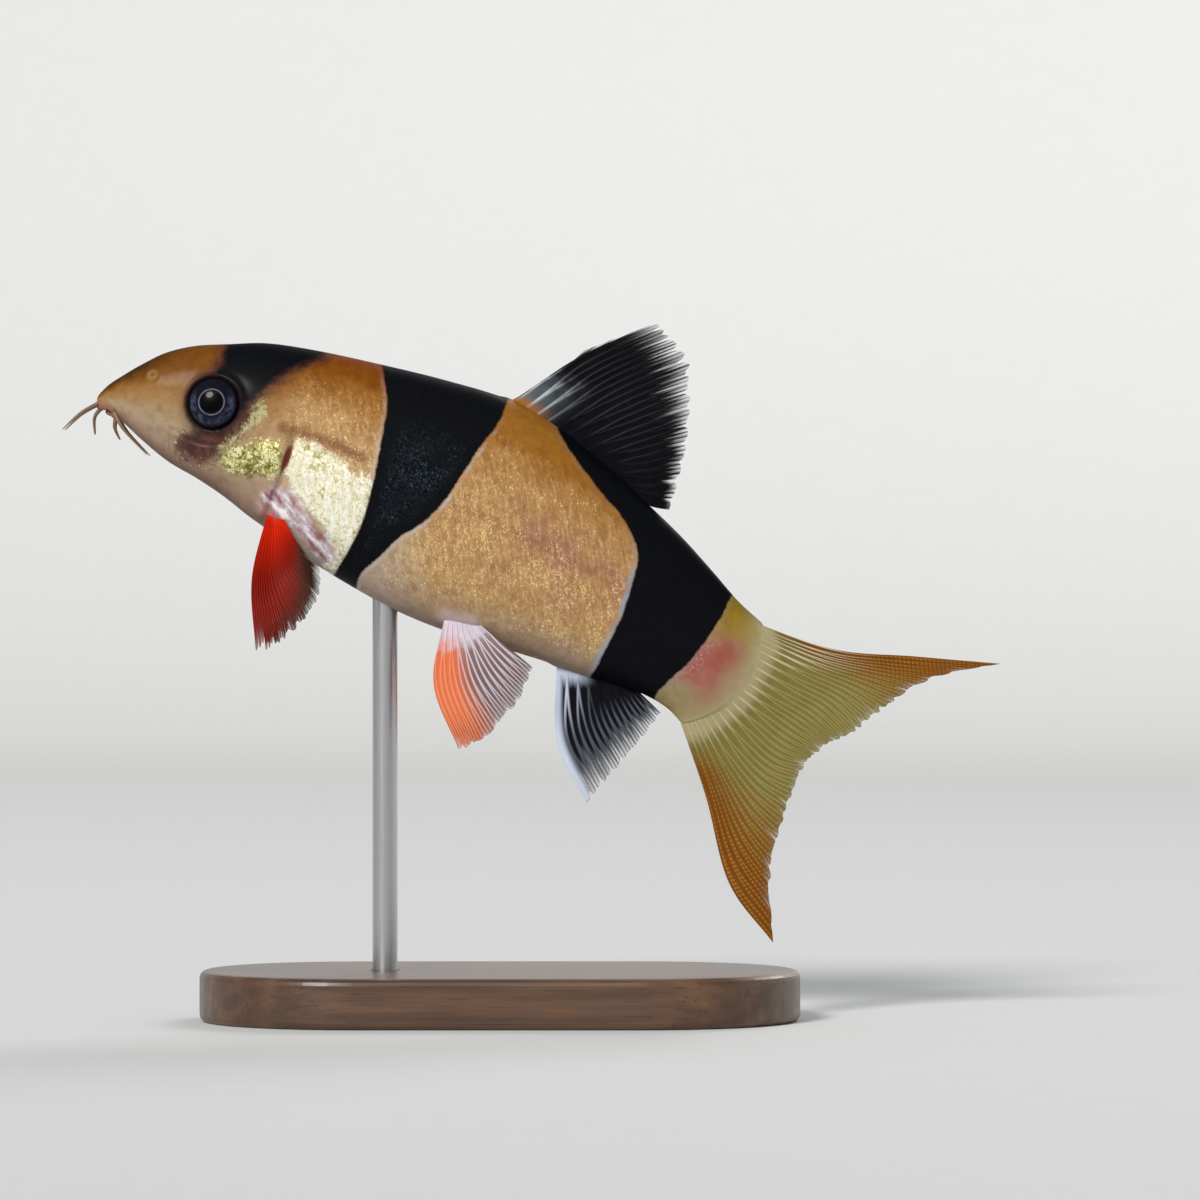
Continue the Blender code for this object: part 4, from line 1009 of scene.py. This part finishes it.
# Colours of the flesh from belly to back, each at its share of the height
HEAD_TONES = (
    (0.00, (0.20, 0.115, 0.085)), (0.14, (0.32, 0.22, 0.155)), (0.34, (0.36, 0.270, 0.170)),
    # The head darkens to almost black along the top of the snout: partly its own brown, partly painted
    # shade.
    (0.55, (0.34, 0.200, 0.080)), (0.74, (0.26, 0.114, 0.024)), (0.87, (0.145, 0.052, 0.005)),
    (1.00, (0.030, 0.012, 0.002)),
)
FORE_TONES = (
    (0.00, (0.36, 0.28, 0.24)), (0.25, (0.44, 0.33, 0.22)), (0.50, (0.50, 0.34, 0.17)),
    (0.66, (0.45, 0.265, 0.115)), (0.78, (0.33, 0.150, 0.035)), (0.90, (0.22, 0.068, 0.004)),
    (1.00, (0.18, 0.038, 0.002)),
)
FLANK_TONES = (
    (0.00, (0.31, 0.23, 0.175)), (0.07, (0.35, 0.25, 0.165)), (0.20, (0.44, 0.270, 0.115)),
    (0.45, (0.44, 0.245, 0.105)), (0.62, (0.43, 0.235, 0.092)), (0.76, (0.38, 0.185, 0.055)),
    (0.85, (0.30, 0.120, 0.014)), (0.94, (0.31, 0.130, 0.018)), (1.00, (0.29, 0.110, 0.012)),
)
STEM_TONES = (
    (0.00, (0.30, 0.24, 0.10)), (0.25, (0.33, 0.24, 0.15)), (0.55, (0.33, 0.20, 0.13)),
    (0.75, (0.32, 0.20, 0.045)), (0.90, (0.28, 0.18, 0.015)), (1.00, (0.20, 0.13, 0.010)),
)
ROOT_CREAM = (0.37, 0.31, 0.160)  # where the flesh thins out over the tail fin

# Colours of the metallic patches, each at its brightness
SILVER_TONES = (
    (0.46, (0.30, 0.24, 0.10)), (0.64, (0.60, 0.55, 0.30)), (0.82, (0.90, 0.86, 0.58)),
    (0.96, (1.0, 0.99, 0.90)),
)
OLIVE_TONES = (
    (0.40, (0.10, 0.070, 0.016)), (0.62, (0.21, 0.185, 0.045)), (0.80, (0.42, 0.41, 0.12)),
    (0.95, (0.80, 0.78, 0.45)),
)
LILAC_TONES = (
    (0.34, (0.26, 0.070, 0.085)), (0.46, (0.44, 0.30, 0.36)), (0.56, (0.60, 0.55, 0.62)),
    (0.68, (0.98, 0.96, 0.98)),
)
PALE_GOLD_TONES = ((0.45, (0.10, 0.066, 0.022)), (0.70, (0.20, 0.172, 0.066)), (0.95, (0.48, 0.45, 0.24)))

# Details of the head: mask, colour and how much of it covers the skin
SKIN_DETAILS = (
    ("nostril", (0.42, 0.25, 0.10), 0.40),
    # The pit's dark colour is painted shade in the nostril's hollow.
    ("pit", (0.20, 0.100, 0.035), 0.25),
    ("lip", (0.27, 0.115, 0.065), 0.75),
    # The mouth's dark line is painted shade in the slit between the lips.
    ("mouth", (0.07, 0.014, 0.012), 0.9),
)
SCALE_LEAN = -8  # how far the rows of flecks lean, in degrees


def skin_places(look):
    """The masks, noises and cells that the layers of the skin share."""
    at = look.masks(
        "height", "station", "past_base", "band", "line", "line_blue", "teal", "spot", "glitter", "lateral",
        "blush", "shoulder", "opercle", "groove", "chest", "maroon", "cheek", "head_band", "eye_rim",
    )
    place = look.place()
    at.grain = look.noise(place, 0.9, 4, 0.6)
    at.soft = look.noise(place, 0.20, 3, 0.5)
    at.fine = look.noise(place, 4.0, 3, 0.6)
    at.wander = at.grain - 0.5
    at.patchy = look.noise(place, 0.30, 2) - 0.5
    at.streak = look.noise(look.place((0.42, 0.42, 3.0), SCALE_LEAN), 1.0, 2) - 0.5
    at.crumple = look.noise(look.place((0.85, 0.85, 1.2), 14), 1.0, 3, 0.62)
    dots = look.place((0.8, 0.8, 1.1), SCALE_LEAN)
    at.cell_rise, at.chance, _ = look.cells(dots, 2.5)
    fine_rise, at.third_chance, at.second_chance = look.cells(dots, 4.3)
    at.dot = at.cell_rise.step(0.62, 0.24)
    at.fine_dot = fine_rise.step(0.66, 0.26)
    at.leaning = at.streak * 1.5 + at.patchy * 1.2
    at.frayed = (at.fine - 0.5) * 2.0 + at.wander * 3.0 + (at.chance - 0.5) * 0.35
    return at


def flesh_colour(look, at):
    level = at.height + (at.soft - 0.5) * 0.14 + at.wander * 0.05
    head, fore, flank, stem = (
        look.ramp(level, *tones) for tones in (HEAD_TONES, FORE_TONES, FLANK_TONES, STEM_TONES)
    )
    forehead = at.station.step(4.5, 8.0) * at.height.step(0.55, 0.85)
    colour = head.cover((0.205, 0.070, 0.008), forehead * 0.8)
    for tone, start, end in ((fore, 8.9, 10.2), (flank, 11.6, 12.6), (stem, 17.2, 18.2)):
        colour = colour.cover(tone, at.station.step(start, end))
    colour = colour.cover((0.30, 0.16, 0.08), at.grain.step(0.35, 0.75) * 0.30, "MULTIPLY")
    mauve = at.height.bell(0.46, 0.30) * at.station.step(12.8, 14.2) * at.soft.step(0.42, 0.62)
    colour = colour.cover((0.33, 0.145, 0.115), mauve * 0.72)
    colour = colour.cover((0.28, 0.12, 0.06), at.lateral * at.station.step(10.5, 12.0) * 0.35)
    blush = (at.blush + (at.soft - 0.5) * 3.0 + at.wander * 1.2).step(-0.9, 1.5)
    flushed = look.mix(at.soft.step(0.30, 0.70), (0.37, 0.150, 0.115), (0.31, 0.070, 0.055))
    return colour.cover(flushed, blush * (at.soft * 0.8 + 0.50))


def add_flecks(look, at, colour):
    """Golden flecks in leaning rows on the flank, and pale dust along the rear edge of the tail band."""
    dusting = at.third_chance.step(0.60, 0.90) * at.fine_dot * at.band.bell(-0.7, 1.3)
    dusting = dusting * at.station.step(16.6, 17.4) * at.height.bell(0.42, 0.36)
    colour = colour.cover((0.66, 0.46, 0.48), dusting * 0.55)
    lit = (at.chance + at.leaning).step(0.40, 1.10) * at.dot
    at.lit_fine = (at.second_chance + at.leaning).step(0.45, 1.10) * at.fine_dot
    bright_rows = at.height.bell(0.40, 0.34) * 0.65 + 0.55
    at.gold = (lit * 0.6).larger(at.lit_fine) * at.glitter * bright_rows
    shade = (at.chance + at.leaning).step(0.35, 0.05) * at.glitter
    colour = colour.cover((0.60, 0.42, 0.32), shade * 0.30, "MULTIPLY")
    colour = colour.cover((0.62, 0.42, 0.22), at.streak.step(-0.05, 0.22) * at.glitter * 0.22)
    colour = colour.cover((0.86, 0.60, 0.25), at.gold * 0.72)
    spark = at.third_chance.step(0.86, 0.95) * at.glitter * at.leaning.step(-0.15, 0.25) * at.fine_dot
    return colour.cover((1.0, 0.88, 0.55), spark * 0.65)


def add_patches(look, at, colour):
    """The silver shoulder, the olive gill cover, painted shade in the groove over them and the lilac chest.
    """
    at.shoulder = (at.shoulder + at.frayed).step(-0.5, 0.5)
    chips = at.third_chance * 0.26 + at.chance * 0.32 + at.fine_dot * 0.10
    at.glow = at.crumple * 0.95 + chips + at.fine * 0.20 + at.patchy * 0.7 - 0.10
    # The silver is painted brighter towards the bottom of the patch: painted light that offsets the shade
    # where the body curves under.
    silver = look.ramp(at.glow + at.height.step(0.52, 0.30) * 0.14 + 0.03, *SILVER_TONES)
    silver = silver.cover((0.60, 0.49, 0.24), (at.patchy + at.streak * 0.8).step(0.00, 0.20) * 0.40)
    silver = silver.cover((0.44, 0.30, 0.16), at.second_chance.step(0.74, 0.90) * 0.38)
    silver = silver.cover((0.66, 0.72, 0.28), at.second_chance.step(0.34, 0.12) * 0.30)
    colour = colour.cover(silver, at.shoulder * 0.95)
    at.opercle = (at.opercle + at.frayed).step(-0.6, 0.6)
    olive = look.ramp(at.glow + (at.third_chance - 0.5) * 0.10, *OLIVE_TONES)
    colour = colour.cover(olive, at.opercle * 0.9)
    # The brown in the shoulder's groove is painted shade, lighter where gold flecks lie in it.
    colour = colour.cover((0.19, 0.078, 0.032), at.groove * (1.0 - at.lit_fine * 0.5) * 0.85)
    at.chest = (at.chest + at.wander * 2.4 + (at.fine - 0.5)).step(-0.5, 0.8)
    folds = look.noise(look.place((3.4, 1.4, 0.9), 52), 1.0, 2, 0.5)
    lilac = look.ramp(folds + (at.crumple - 0.5) * 0.5, *LILAC_TONES)
    return colour.cover(lilac, at.chest * 0.80)


def add_eye_surround(look, at, colour):
    """Painted shade round the eye, the dark red skin under it with its freckles, and the pale gold streak
    behind it.
    """
    at.maroon_skin = (at.maroon + at.wander * 3.0 + (at.crumple - 0.5) * 1.5).step(-0.8, 0.9)
    # A soft dark brown ring round the eye is painted shade.
    eye_shade = (at.eye_rim + at.wander * 2.0).step(1.7, 0.3) * 0.50
    colour = colour.cover((0.085, 0.032, 0.020), eye_shade)
    dark_red = look.mix(at.grain.step(0.38, 0.68), (0.016, 0.004, 0.006), (0.120, 0.036, 0.030))
    # The dark red turns darker still near the eye: painted shade.
    dark_red = dark_red.cover((0.016, 0.004, 0.009), at.eye_rim.step(1.8, 0.3) * 0.8)
    colour = colour.cover(dark_red, at.maroon_skin * 0.90)
    flecks = at.second_chance.step(0.66, 0.90) * at.fine_dot * at.crumple.step(0.42, 0.60)
    freckled = at.maroon.bell(-0.1, 1.3) * at.eye_rim.step(1.0, 1.8) * at.station.step(5.0, 6.0)
    colour = colour.cover((0.70, 0.58, 0.36), flecks * freckled * 0.8)
    cheek = (at.cheek + at.frayed * 0.8).step(-0.05, 0.55)
    return colour.cover(look.ramp(at.glow, *PALE_GOLD_TONES), cheek * 0.80)


def add_bands(look, at, colour):
    """The black bands, with a pale line along the edges of those on the flank."""
    edge_wander = (at.fine - 0.5) * 0.30 + at.wander * 0.35
    band_edge = at.band + edge_wander
    band = band_edge.step(-0.14, 0.16)
    line_width = at.line_blue * 0.30 + 0.30
    line = (abs(band_edge + 0.26) / line_width).step(1.0, 0.0) * at.line
    line = line * (at.fine + at.wander + at.patchy * 1.2).step(0.10, 1.00)
    colour = colour.cover(look.mix(at.line_blue, (0.62, 0.60, 0.62), (0.22, 0.36, 0.50)), line)
    black = look.mix(at.grain, (0.0010, 0.0012, 0.0020), (0.0030, 0.0036, 0.0060))
    speckle = at.second_chance.step(0.30, 0.95) + at.third_chance.step(0.93, 0.96) * 1.5
    speckle = speckle * (at.fine_dot * 0.75 + 0.25)
    teal = at.teal * speckle * (1.0 - at.spot) * at.soft.step(0.30, 0.60)
    black = black.cover((0.030, 0.052, 0.068), teal * 0.7)
    colour = colour.cover(black, band)
    head_edge = at.head_band + edge_wander + at.wander * 1.1
    colour = colour.cover((0.060, 0.020, 0.016), head_edge.step(-1.7, 0.3) * 0.8)
    head_band = head_edge.step(-0.60, 0.60)
    at.black_share = band.larger(head_band)
    return colour.cover(black, head_band)


def add_details(look, at, colour):
    """The eye socket, gill opening, nostrils, mouth and the bases of the fins, with painted shade in the
    hollows.
    """
    # The near-black ring where the skin meets the eye is painted shade in the socket.
    colour = colour.cover((0.012, 0.006, 0.008), (at.eye_rim + at.wander * 0.7).step(0.85, 0.15) * 0.93)
    # The faint brown along the whole gill slit is painted shade in the opening.
    colour = colour.cover((0.16, 0.060, 0.030), look.mask("gill_slit_shade") * 0.30)
    colour = colour.cover((0.13, 0.012, 0.008), look.mask("gill").step(0.15, 0.65) * 0.92)
    # The dark line in the spine's groove is painted shade.
    colour = colour.cover((0.07, 0.02, 0.018), look.mask("spine") * at.maroon_skin * 0.5)
    for name, tint, share in SKIN_DETAILS:
        colour = colour.cover(tint, look.mask(name) * share)
    colour = colour.cover((0.46, 0.22, 0.20), look.mask("pectoral_base").step(0.60, 1.0) * 0.40)
    colour = colour.cover((0.52, 0.42, 0.46), look.mask("pelvic_base").step(0.25, 1.0) * 0.55)
    root_place = at.station + at.past_base + at.wander * 0.8
    colour = colour.cover(ROOT_CREAM, root_place.step(18.9, 20.2) * 0.75)
    # The paler rim at the flesh's end is partly its own cream border and partly painted light that lifts the
    # shade on its rearward slope.
    return colour.cover((0.60, 0.54, 0.36), root_place.step(19.7, 20.7) * 0.55)


def skin_look():
    look = Look("loach_skin")
    at = skin_places(look)
    colour = flesh_colour(look, at)
    for layer in (add_flecks, add_patches, add_eye_surround, add_bands, add_details):
        colour = layer(look, at, colour)
    patches = at.shoulder.larger(at.opercle)
    shine = (at.gold * 0.45).larger(patches * 0.55)
    metallic = shine * (1.0 - at.black_share) * 0.7
    roughness = at.fine * 0.12 - shine * 0.20 + at.black_share * 0.12 + 0.44
    crinkle = at.crumple * patches.larger(at.chest)
    rise = at.cell_rise * 0.5 + at.third_chance * 0.35 + at.fine * 0.25 + at.streak * 0.8 + crinkle * 2.2
    normal = look.bump(rise, 0.030, 0.6)
    normal = look.bump(at.grain, 0.06, 0.25, normal)
    return look.finish(
        colour=colour, metallic=metallic, roughness=roughness, normal=normal, specular=0.05, coat=0.05,
        coat_roughness=0.18,
    )


PUPIL_EDGE = (0.440, 0.410)  # shares of the eye's radius
RING_RADIUS = 0.500
RING_WIDTH = 0.038


def eye_look():
    look = Look("loach_eye")
    a, b = look.mask("eye_a"), look.mask("eye_b")
    radius = look.math("SQRT", a * a + b * b)
    place = look.place()
    grain = look.noise(place, 3.0, 3, 0.6)
    spokes = look.noise(place, 1.3, 2, 0.5)
    lit = (abs(a) - b * 0.6).step(0.25, 0.80)
    glow = radius.bell(0.74, 0.20) * lit * spokes.step(0.28, 0.66)
    iris = look.mix(grain, (0.002, 0.002, 0.004), (0.010, 0.010, 0.018))
    iris = iris.cover((0.062, 0.072, 0.132), glow * (grain * 0.9 + 0.50))
    iris = iris.cover((0.004, 0.003, 0.005), radius.step(0.88, 0.98))
    ring = radius.bell(RING_RADIUS, RING_WIDTH)
    iris = iris.cover((0.20, 0.21, 0.27), ring * (spokes * 0.8 + 0.35))
    colour = iris.cover((0.0003, 0.0003, 0.0004), radius.step(*PUPIL_EDGE))
    normal = look.bump(spokes, 0.02, 0.3)
    return look.finish(
        colour=colour, roughness=grain * 0.08 + 0.26, normal=normal, coat=0.10, coat_roughness=0.03,
        specular=0.03,
    )


def fin_look(name, paint):
    """A webbed fin. paint gives its colour and how solid it is, from its masks."""
    look = Look(name)
    at = look.masks("place", "along", "across", "distance")
    at.grain = look.noise(look.place(), 0.8, 2, 0.5)
    offset = abs(at.place - look.math("ROUND", at.place))
    first = at.along.step(*FIRST_FORK) * FIRST_SPREAD
    second = at.along.step(*SECOND_FORK) * SECOND_SPREAD
    gap = abs(abs(offset - first) - second)
    at.ray = (gap / (0.20 - at.along * 0.14)).step(1.0, 0.2)
    at.joint = look.math("COSINE", at.distance * (2 * math.pi / JOINT_LENGTH)).step(-0.2, 0.7)
    colour, alpha = paint(look, at)
    normal = look.bump(at.grain * 0.5 + at.ray, 0.03, 0.25)
    return look.finish(
        colour=colour, alpha=alpha, roughness=at.grain * 0.14 + 0.40, normal=normal, specular=0.06,
        coat=0.03, coat_roughness=0.25,
    )


def fringe(look, at, start, end, web, hair):
    """How solid a fin is where it frays into hairs and tufts towards the margin. web and hair are the least
    solid that the web and the rays get."""
    hairs = look.noise(look.grid(at.place * 6.0, at.along * 2.2), 1.0, 2) - 0.5
    tufts = look.noise(look.grid(at.place * 0.9, at.along), 1.0, 1) - 0.5
    out = at.along + hairs * 0.42 + tufts * 0.30 - at.ray * 0.05
    thin = out.step(start, end)
    least = (at.ray * hair + web).smaller(1.0)
    return thin, 1.0 - thin * (1.0 - least)


def dorsal_paint(look, at):
    out = (at.along + at.grain * 0.2).step(0.52, 0.18)
    pale = at.across.step(0.38, 0.04) * out * (at.ray * 1.4 + 0.30)
    colour = look.mix(at.grain, (0.0010, 0.0010, 0.0020), (0.0040, 0.0032, 0.0055))
    rays = at.ray * at.along.bell(0.42, 0.40) * at.grain.step(0.35, 0.65)
    colour = colour.cover((0.045, 0.042, 0.065), rays * 0.10)
    colour = colour.cover((0.44, 0.50, 0.55), pale.smaller(0.90))
    colour = colour.cover((0.008, 0.007, 0.009), at.place.step(0.55, 0.25) * 0.9)
    colour = colour.cover((0.34, 0.120, 0.012), at.across.step(0.36, 0.08) * at.distance.step(3.0, 1.4))
    thin, alpha = fringe(look, at, 0.76, 1.04, 0.05, 0.30)
    return colour.cover((0.035, 0.035, 0.042), thin * 0.35), alpha


def anal_paint(look, at):
    lead = at.place.step(0.75, 0.25)
    root = at.across.step(0.50, 0.20) * at.along.step(0.20, 0.08)
    streak = at.across.step(0.45, 0.05) * at.ray * at.along.step(0.60, 0.20)
    colour = look.mix(at.grain, (0.0015, 0.0015, 0.003), (0.006, 0.006, 0.010))
    colour = colour.cover((0.16, 0.19, 0.24), at.ray * at.along.step(0.30, 0.60) * 0.45)
    colour = colour.cover((0.58, 0.64, 0.78), lead.larger(root).larger(streak) * 0.92)
    thin, alpha = fringe(look, at, 0.66, 1.02, 0.06, 0.45)
    return colour.cover((0.10, 0.115, 0.14), thin * 0.5 * (1.0 - lead)), alpha.larger(lead * 0.9)


def pelvic_paint(look, at):
    rear = at.across.step(0.22, 0.55)
    membrane = look.mix(rear, (0.66, 0.155, 0.070), (0.20, 0.120, 0.115))
    bone = look.mix(at.along.step(0.2, 0.8), (0.64, 0.58, 0.66), (0.50, 0.46, 0.52))
    colour = membrane.cover(look.mix(rear, (0.80, 0.24, 0.10), bone), at.ray * 0.92)
    near = (at.along + (at.grain - 0.5) * 0.25).step(0.34, 0.14)
    colour = colour.cover((0.62, 0.55, 0.63), near * 0.92)
    web = 1.0 - at.ray
    colour = colour.cover((0.16, 0.070, 0.050), at.along.step(0.55, 1.0) * web * 0.45)
    _, alpha = fringe(look, at, 0.80, 1.06, 0.15, 0.50)
    sheer = rear * at.along.step(0.35, 0.7) * web * 0.5
    return colour, alpha * (1.0 - sheer)


def pectoral_paint(look, at):
    colour = look.mix(at.along.step(0.06, 0.62), (0.62, 0.018, 0.002), (0.145, 0.003, 0.001))
    colour = colour.cover((0.50, 0.028, 0.004), at.ray * 0.28)
    out = at.along * 0.80 + at.across * 0.46 + (at.grain - 0.5) * 0.14
    colour = colour.cover((0.050, 0.014, 0.007), out.step(0.78, 1.08))
    thin, alpha = fringe(look, at, 0.82, 1.08, 0.20, 0.40)
    sheer = out.step(0.98, 1.20) * (0.75 - at.ray * 0.40)
    return colour.cover((0.10, 0.030, 0.015), thin * 0.5), alpha * (1.0 - sheer)


def tail_paint(look, at):
    """Across runs from the outer edge of the upper lobe to that of the lower one, with the fork between."""
    outer = abs(at.across * 2.0 - 1.0)
    amber = look.mix(at.grain, (0.125, 0.040, 0.003), (0.20, 0.066, 0.004))
    middle = look.mix(at.grain, (0.155, 0.128, 0.026), (0.235, 0.180, 0.046))
    drift = outer + at.along * 0.16 + (at.grain - 0.5) * 0.34
    rich = drift.step(0.52, 1.04) * at.distance.step(3.5, 9.0)
    colour = middle.cover(amber, rich)
    bead_colour = look.mix(rich, (0.34, 0.31, 0.13), (0.44, 0.185, 0.035))
    beading = at.joint * (rich * 0.6 + 0.25)
    beads = at.ray * (1.0 - beading) * at.distance.step(3.0, 6.0)
    colour = colour.cover(bead_colour, beads * 0.62)
    pale_reach = at.across.step(0.34, 0.08) * 12.0 + 6.0
    pale = at.ray * (at.distance / pale_reach).step(1.0, 0.45)
    colour = colour.cover((0.66, 0.63, 0.46), pale * 0.80)
    flesh = (at.distance + at.ray * 0.8 + at.grain * 1.5).step(5.6, 3.8)
    colour = colour.cover(ROOT_CREAM, flesh * (1.0 - at.ray * 0.4))
    _, alpha = fringe(look, at, 0.88, 1.10, 0.12, 0.60)
    alpha = alpha.larger(outer.step(0.86, 0.96))
    return colour, ((rich * 0.06 + 0.94) * alpha).smaller(1.0)


def barbel_look():
    look = Look("loach_barbel")
    grain = look.noise(look.place(), 3.0, 3, 0.6)
    colour = look.mix(look.mask("along").step(0.0, 0.4), (0.26, 0.120, 0.070), (0.17, 0.105, 0.055))
    colour = colour.cover((0.16, 0.07, 0.03), grain.step(0.4, 0.7) * 0.4)
    return look.finish(
        colour=colour, roughness=0.42, normal=look.bump(grain, 0.03, 0.4), coat=0.3, coat_roughness=0.2,
        subsurface=0.1, subsurface_scale=0.0005,
    )


BASE_CORE = (17.0, 1.0)  # the base's outline runs round a rectangle with this half size
ROD_X = -13.8


def wood_look():
    """Dark wood with its grain along the base."""
    look = Look("stand_wood")
    warp = look.noise(look.place((40, 9, 9)), 1.0, 3, 0.5)
    rings = look.noise(look.place((60, 3.2, 3.2)), 1.6, 6, 0.62)
    pores = look.noise(look.place((9, 0.28, 0.28)), 1.0, 2, 0.5)
    colour = look.ramp(
        rings * 0.75 + warp * 0.35,
        (0.30, (0.030, 0.013, 0.006)), (0.52, (0.078, 0.034, 0.015)), (0.72, (0.150, 0.072, 0.033)),
    )
    colour = colour.cover((0.025, 0.012, 0.007), pores.step(0.60, 0.70) * 0.6)
    smooth = look.upright_normal((0.0, 0.0), BASE_CORE)
    normal = look.bump(rings * 0.4 - pores * 0.6, 0.06, 0.5, smooth)
    return look.finish(
        colour=colour, roughness=rings * 0.16 + 0.34, normal=normal, coat=0.3, coat_roughness=0.22
    )


def steel_look():
    """Steel brushed along the rod."""
    look = Look("stand_steel")
    brushed = look.noise(look.place((0.12, 0.12, 14)), 1.0, 3, 0.6)
    colour = look.mix(brushed, (0.48, 0.48, 0.50), (0.62, 0.62, 0.64))
    normal = look.bump(brushed, 0.01, 0.5, look.upright_normal((ROD_X, 0.0), (0.0, 0.0)))
    return look.finish(colour=colour, metallic=1.0, roughness=brushed * 0.16 + 0.24, normal=normal)


def dress_stand():
    for node, material in (("stand_base", wood_look()), ("stand_rod", steel_look())):
        for slot in bpy.data.objects[node].material_slots:
            slot.material = material


# The stage, in metres
FLOOR_RADIUS = 1.3
WALL_CURVE = 0.6
WALL_HEIGHT = 0.9
CURVE_STEPS = 16
STAGE_COLUMNS = 96


def add_stage():
    """A floor that curves up into a wall all round, so that every view has the same plain ground."""
    profile = [(0.001, 0.0), (0.3, 0.0), (0.8, 0.0), (FLOOR_RADIUS, 0.0)]
    for step in range(1, CURVE_STEPS + 1):
        turn = step / CURVE_STEPS * math.pi / 2
        profile.append((FLOOR_RADIUS + WALL_CURVE * math.sin(turn), WALL_CURVE * (1 - math.cos(turn))))
    profile.append((FLOOR_RADIUS + WALL_CURVE, WALL_HEIGHT))
    points = [[(r * math.cos(t), r * math.sin(t), z) for t in turns(STAGE_COLUMNS)] for r, z in profile]
    look = Look("studio_paper")
    grain = look.noise(look.place(), 0.15, 3, 0.5)
    material = look.finish(colour=look.mix(grain, (0.66, 0.665, 0.665), (0.68, 0.685, 0.685)), roughness=0.9)
    faces = grid_faces(len(profile), STAGE_COLUMNS, closed=True, flip=True)
    faces.append(list(range(STAGE_COLUMNS)))
    new_piece("stage_floor", np.array(points) / MM, faces, material)


LIGHT_TARGET = Vector((0.0, 0.0, 0.055))


def add_sun(name, place, power, angle, colour):
    sun = bpy.data.objects.new(name, bpy.data.lights.new(name, "SUN"))
    sun.data.energy = power
    sun.data.color = colour
    sun.data.angle = angle
    sun.location = place
    sun.rotation_euler = (LIGHT_TARGET - Vector(place)).to_track_quat("-Z", "Y").to_euler()
    bpy.context.scene.collection.objects.link(sun)


def add_studio():
    add_sun("light_key", (-0.50, -1.00, 0.80), 2.80, 0.28, (1.0, 0.985, 0.95))
    add_sun("light_back", (0.55, 1.00, 0.80), 1.15, 0.50, (0.96, 0.98, 1.0))
    world = bpy.data.worlds.new("studio_air")
    world.use_nodes = True
    background = world.node_tree.nodes["Background"]
    background.inputs["Color"].default_value = (0.95, 0.97, 1.0, 1)
    background.inputs["Strength"].default_value = 0.30
    bpy.context.scene.world = world
    bpy.context.scene.view_settings.view_transform = "Standard"


# The camera looks level, square to the fish's left side. The picture is 144 mm wide at the fish.
VIEW_MIDDLE = (12.0, 50.4)
VIEW_WIDTH = 144.0
VIEW_DISTANCE = 800.0
SENSOR_WIDTH = 36


def add_camera():
    camera = bpy.data.objects.new("camera", bpy.data.cameras.new("camera"))
    camera.data.sensor_width = SENSOR_WIDTH
    camera.data.lens = SENSOR_WIDTH * VIEW_DISTANCE / VIEW_WIDTH
    camera.data.clip_start = 0.01
    camera.location = Vector((VIEW_MIDDLE[0], -VIEW_DISTANCE, VIEW_MIDDLE[1])) * MM
    camera.rotation_euler = (math.pi / 2, 0, 0)
    bpy.context.scene.collection.objects.link(camera)
    bpy.context.scene.camera = camera


add_skin(skin_look())
add_eyes(eye_look())
add_dorsal_fin(fin_look("dorsal_web", dorsal_paint))
add_anal_fin(fin_look("anal_web", anal_paint))
add_tail_fin(fin_look("tail_web", tail_paint))
add_paired_fins("pectoral", PECTORAL, 12, fin_look("pectoral_web", pectoral_paint), "red_fin", 6)
add_paired_fins("pelvic", PELVIC, 9, fin_look("pelvic_web", pelvic_paint), "pelvic_fin", 7)
add_barbels(barbel_look())
dress_stand()
add_stage()
add_studio()
add_camera()
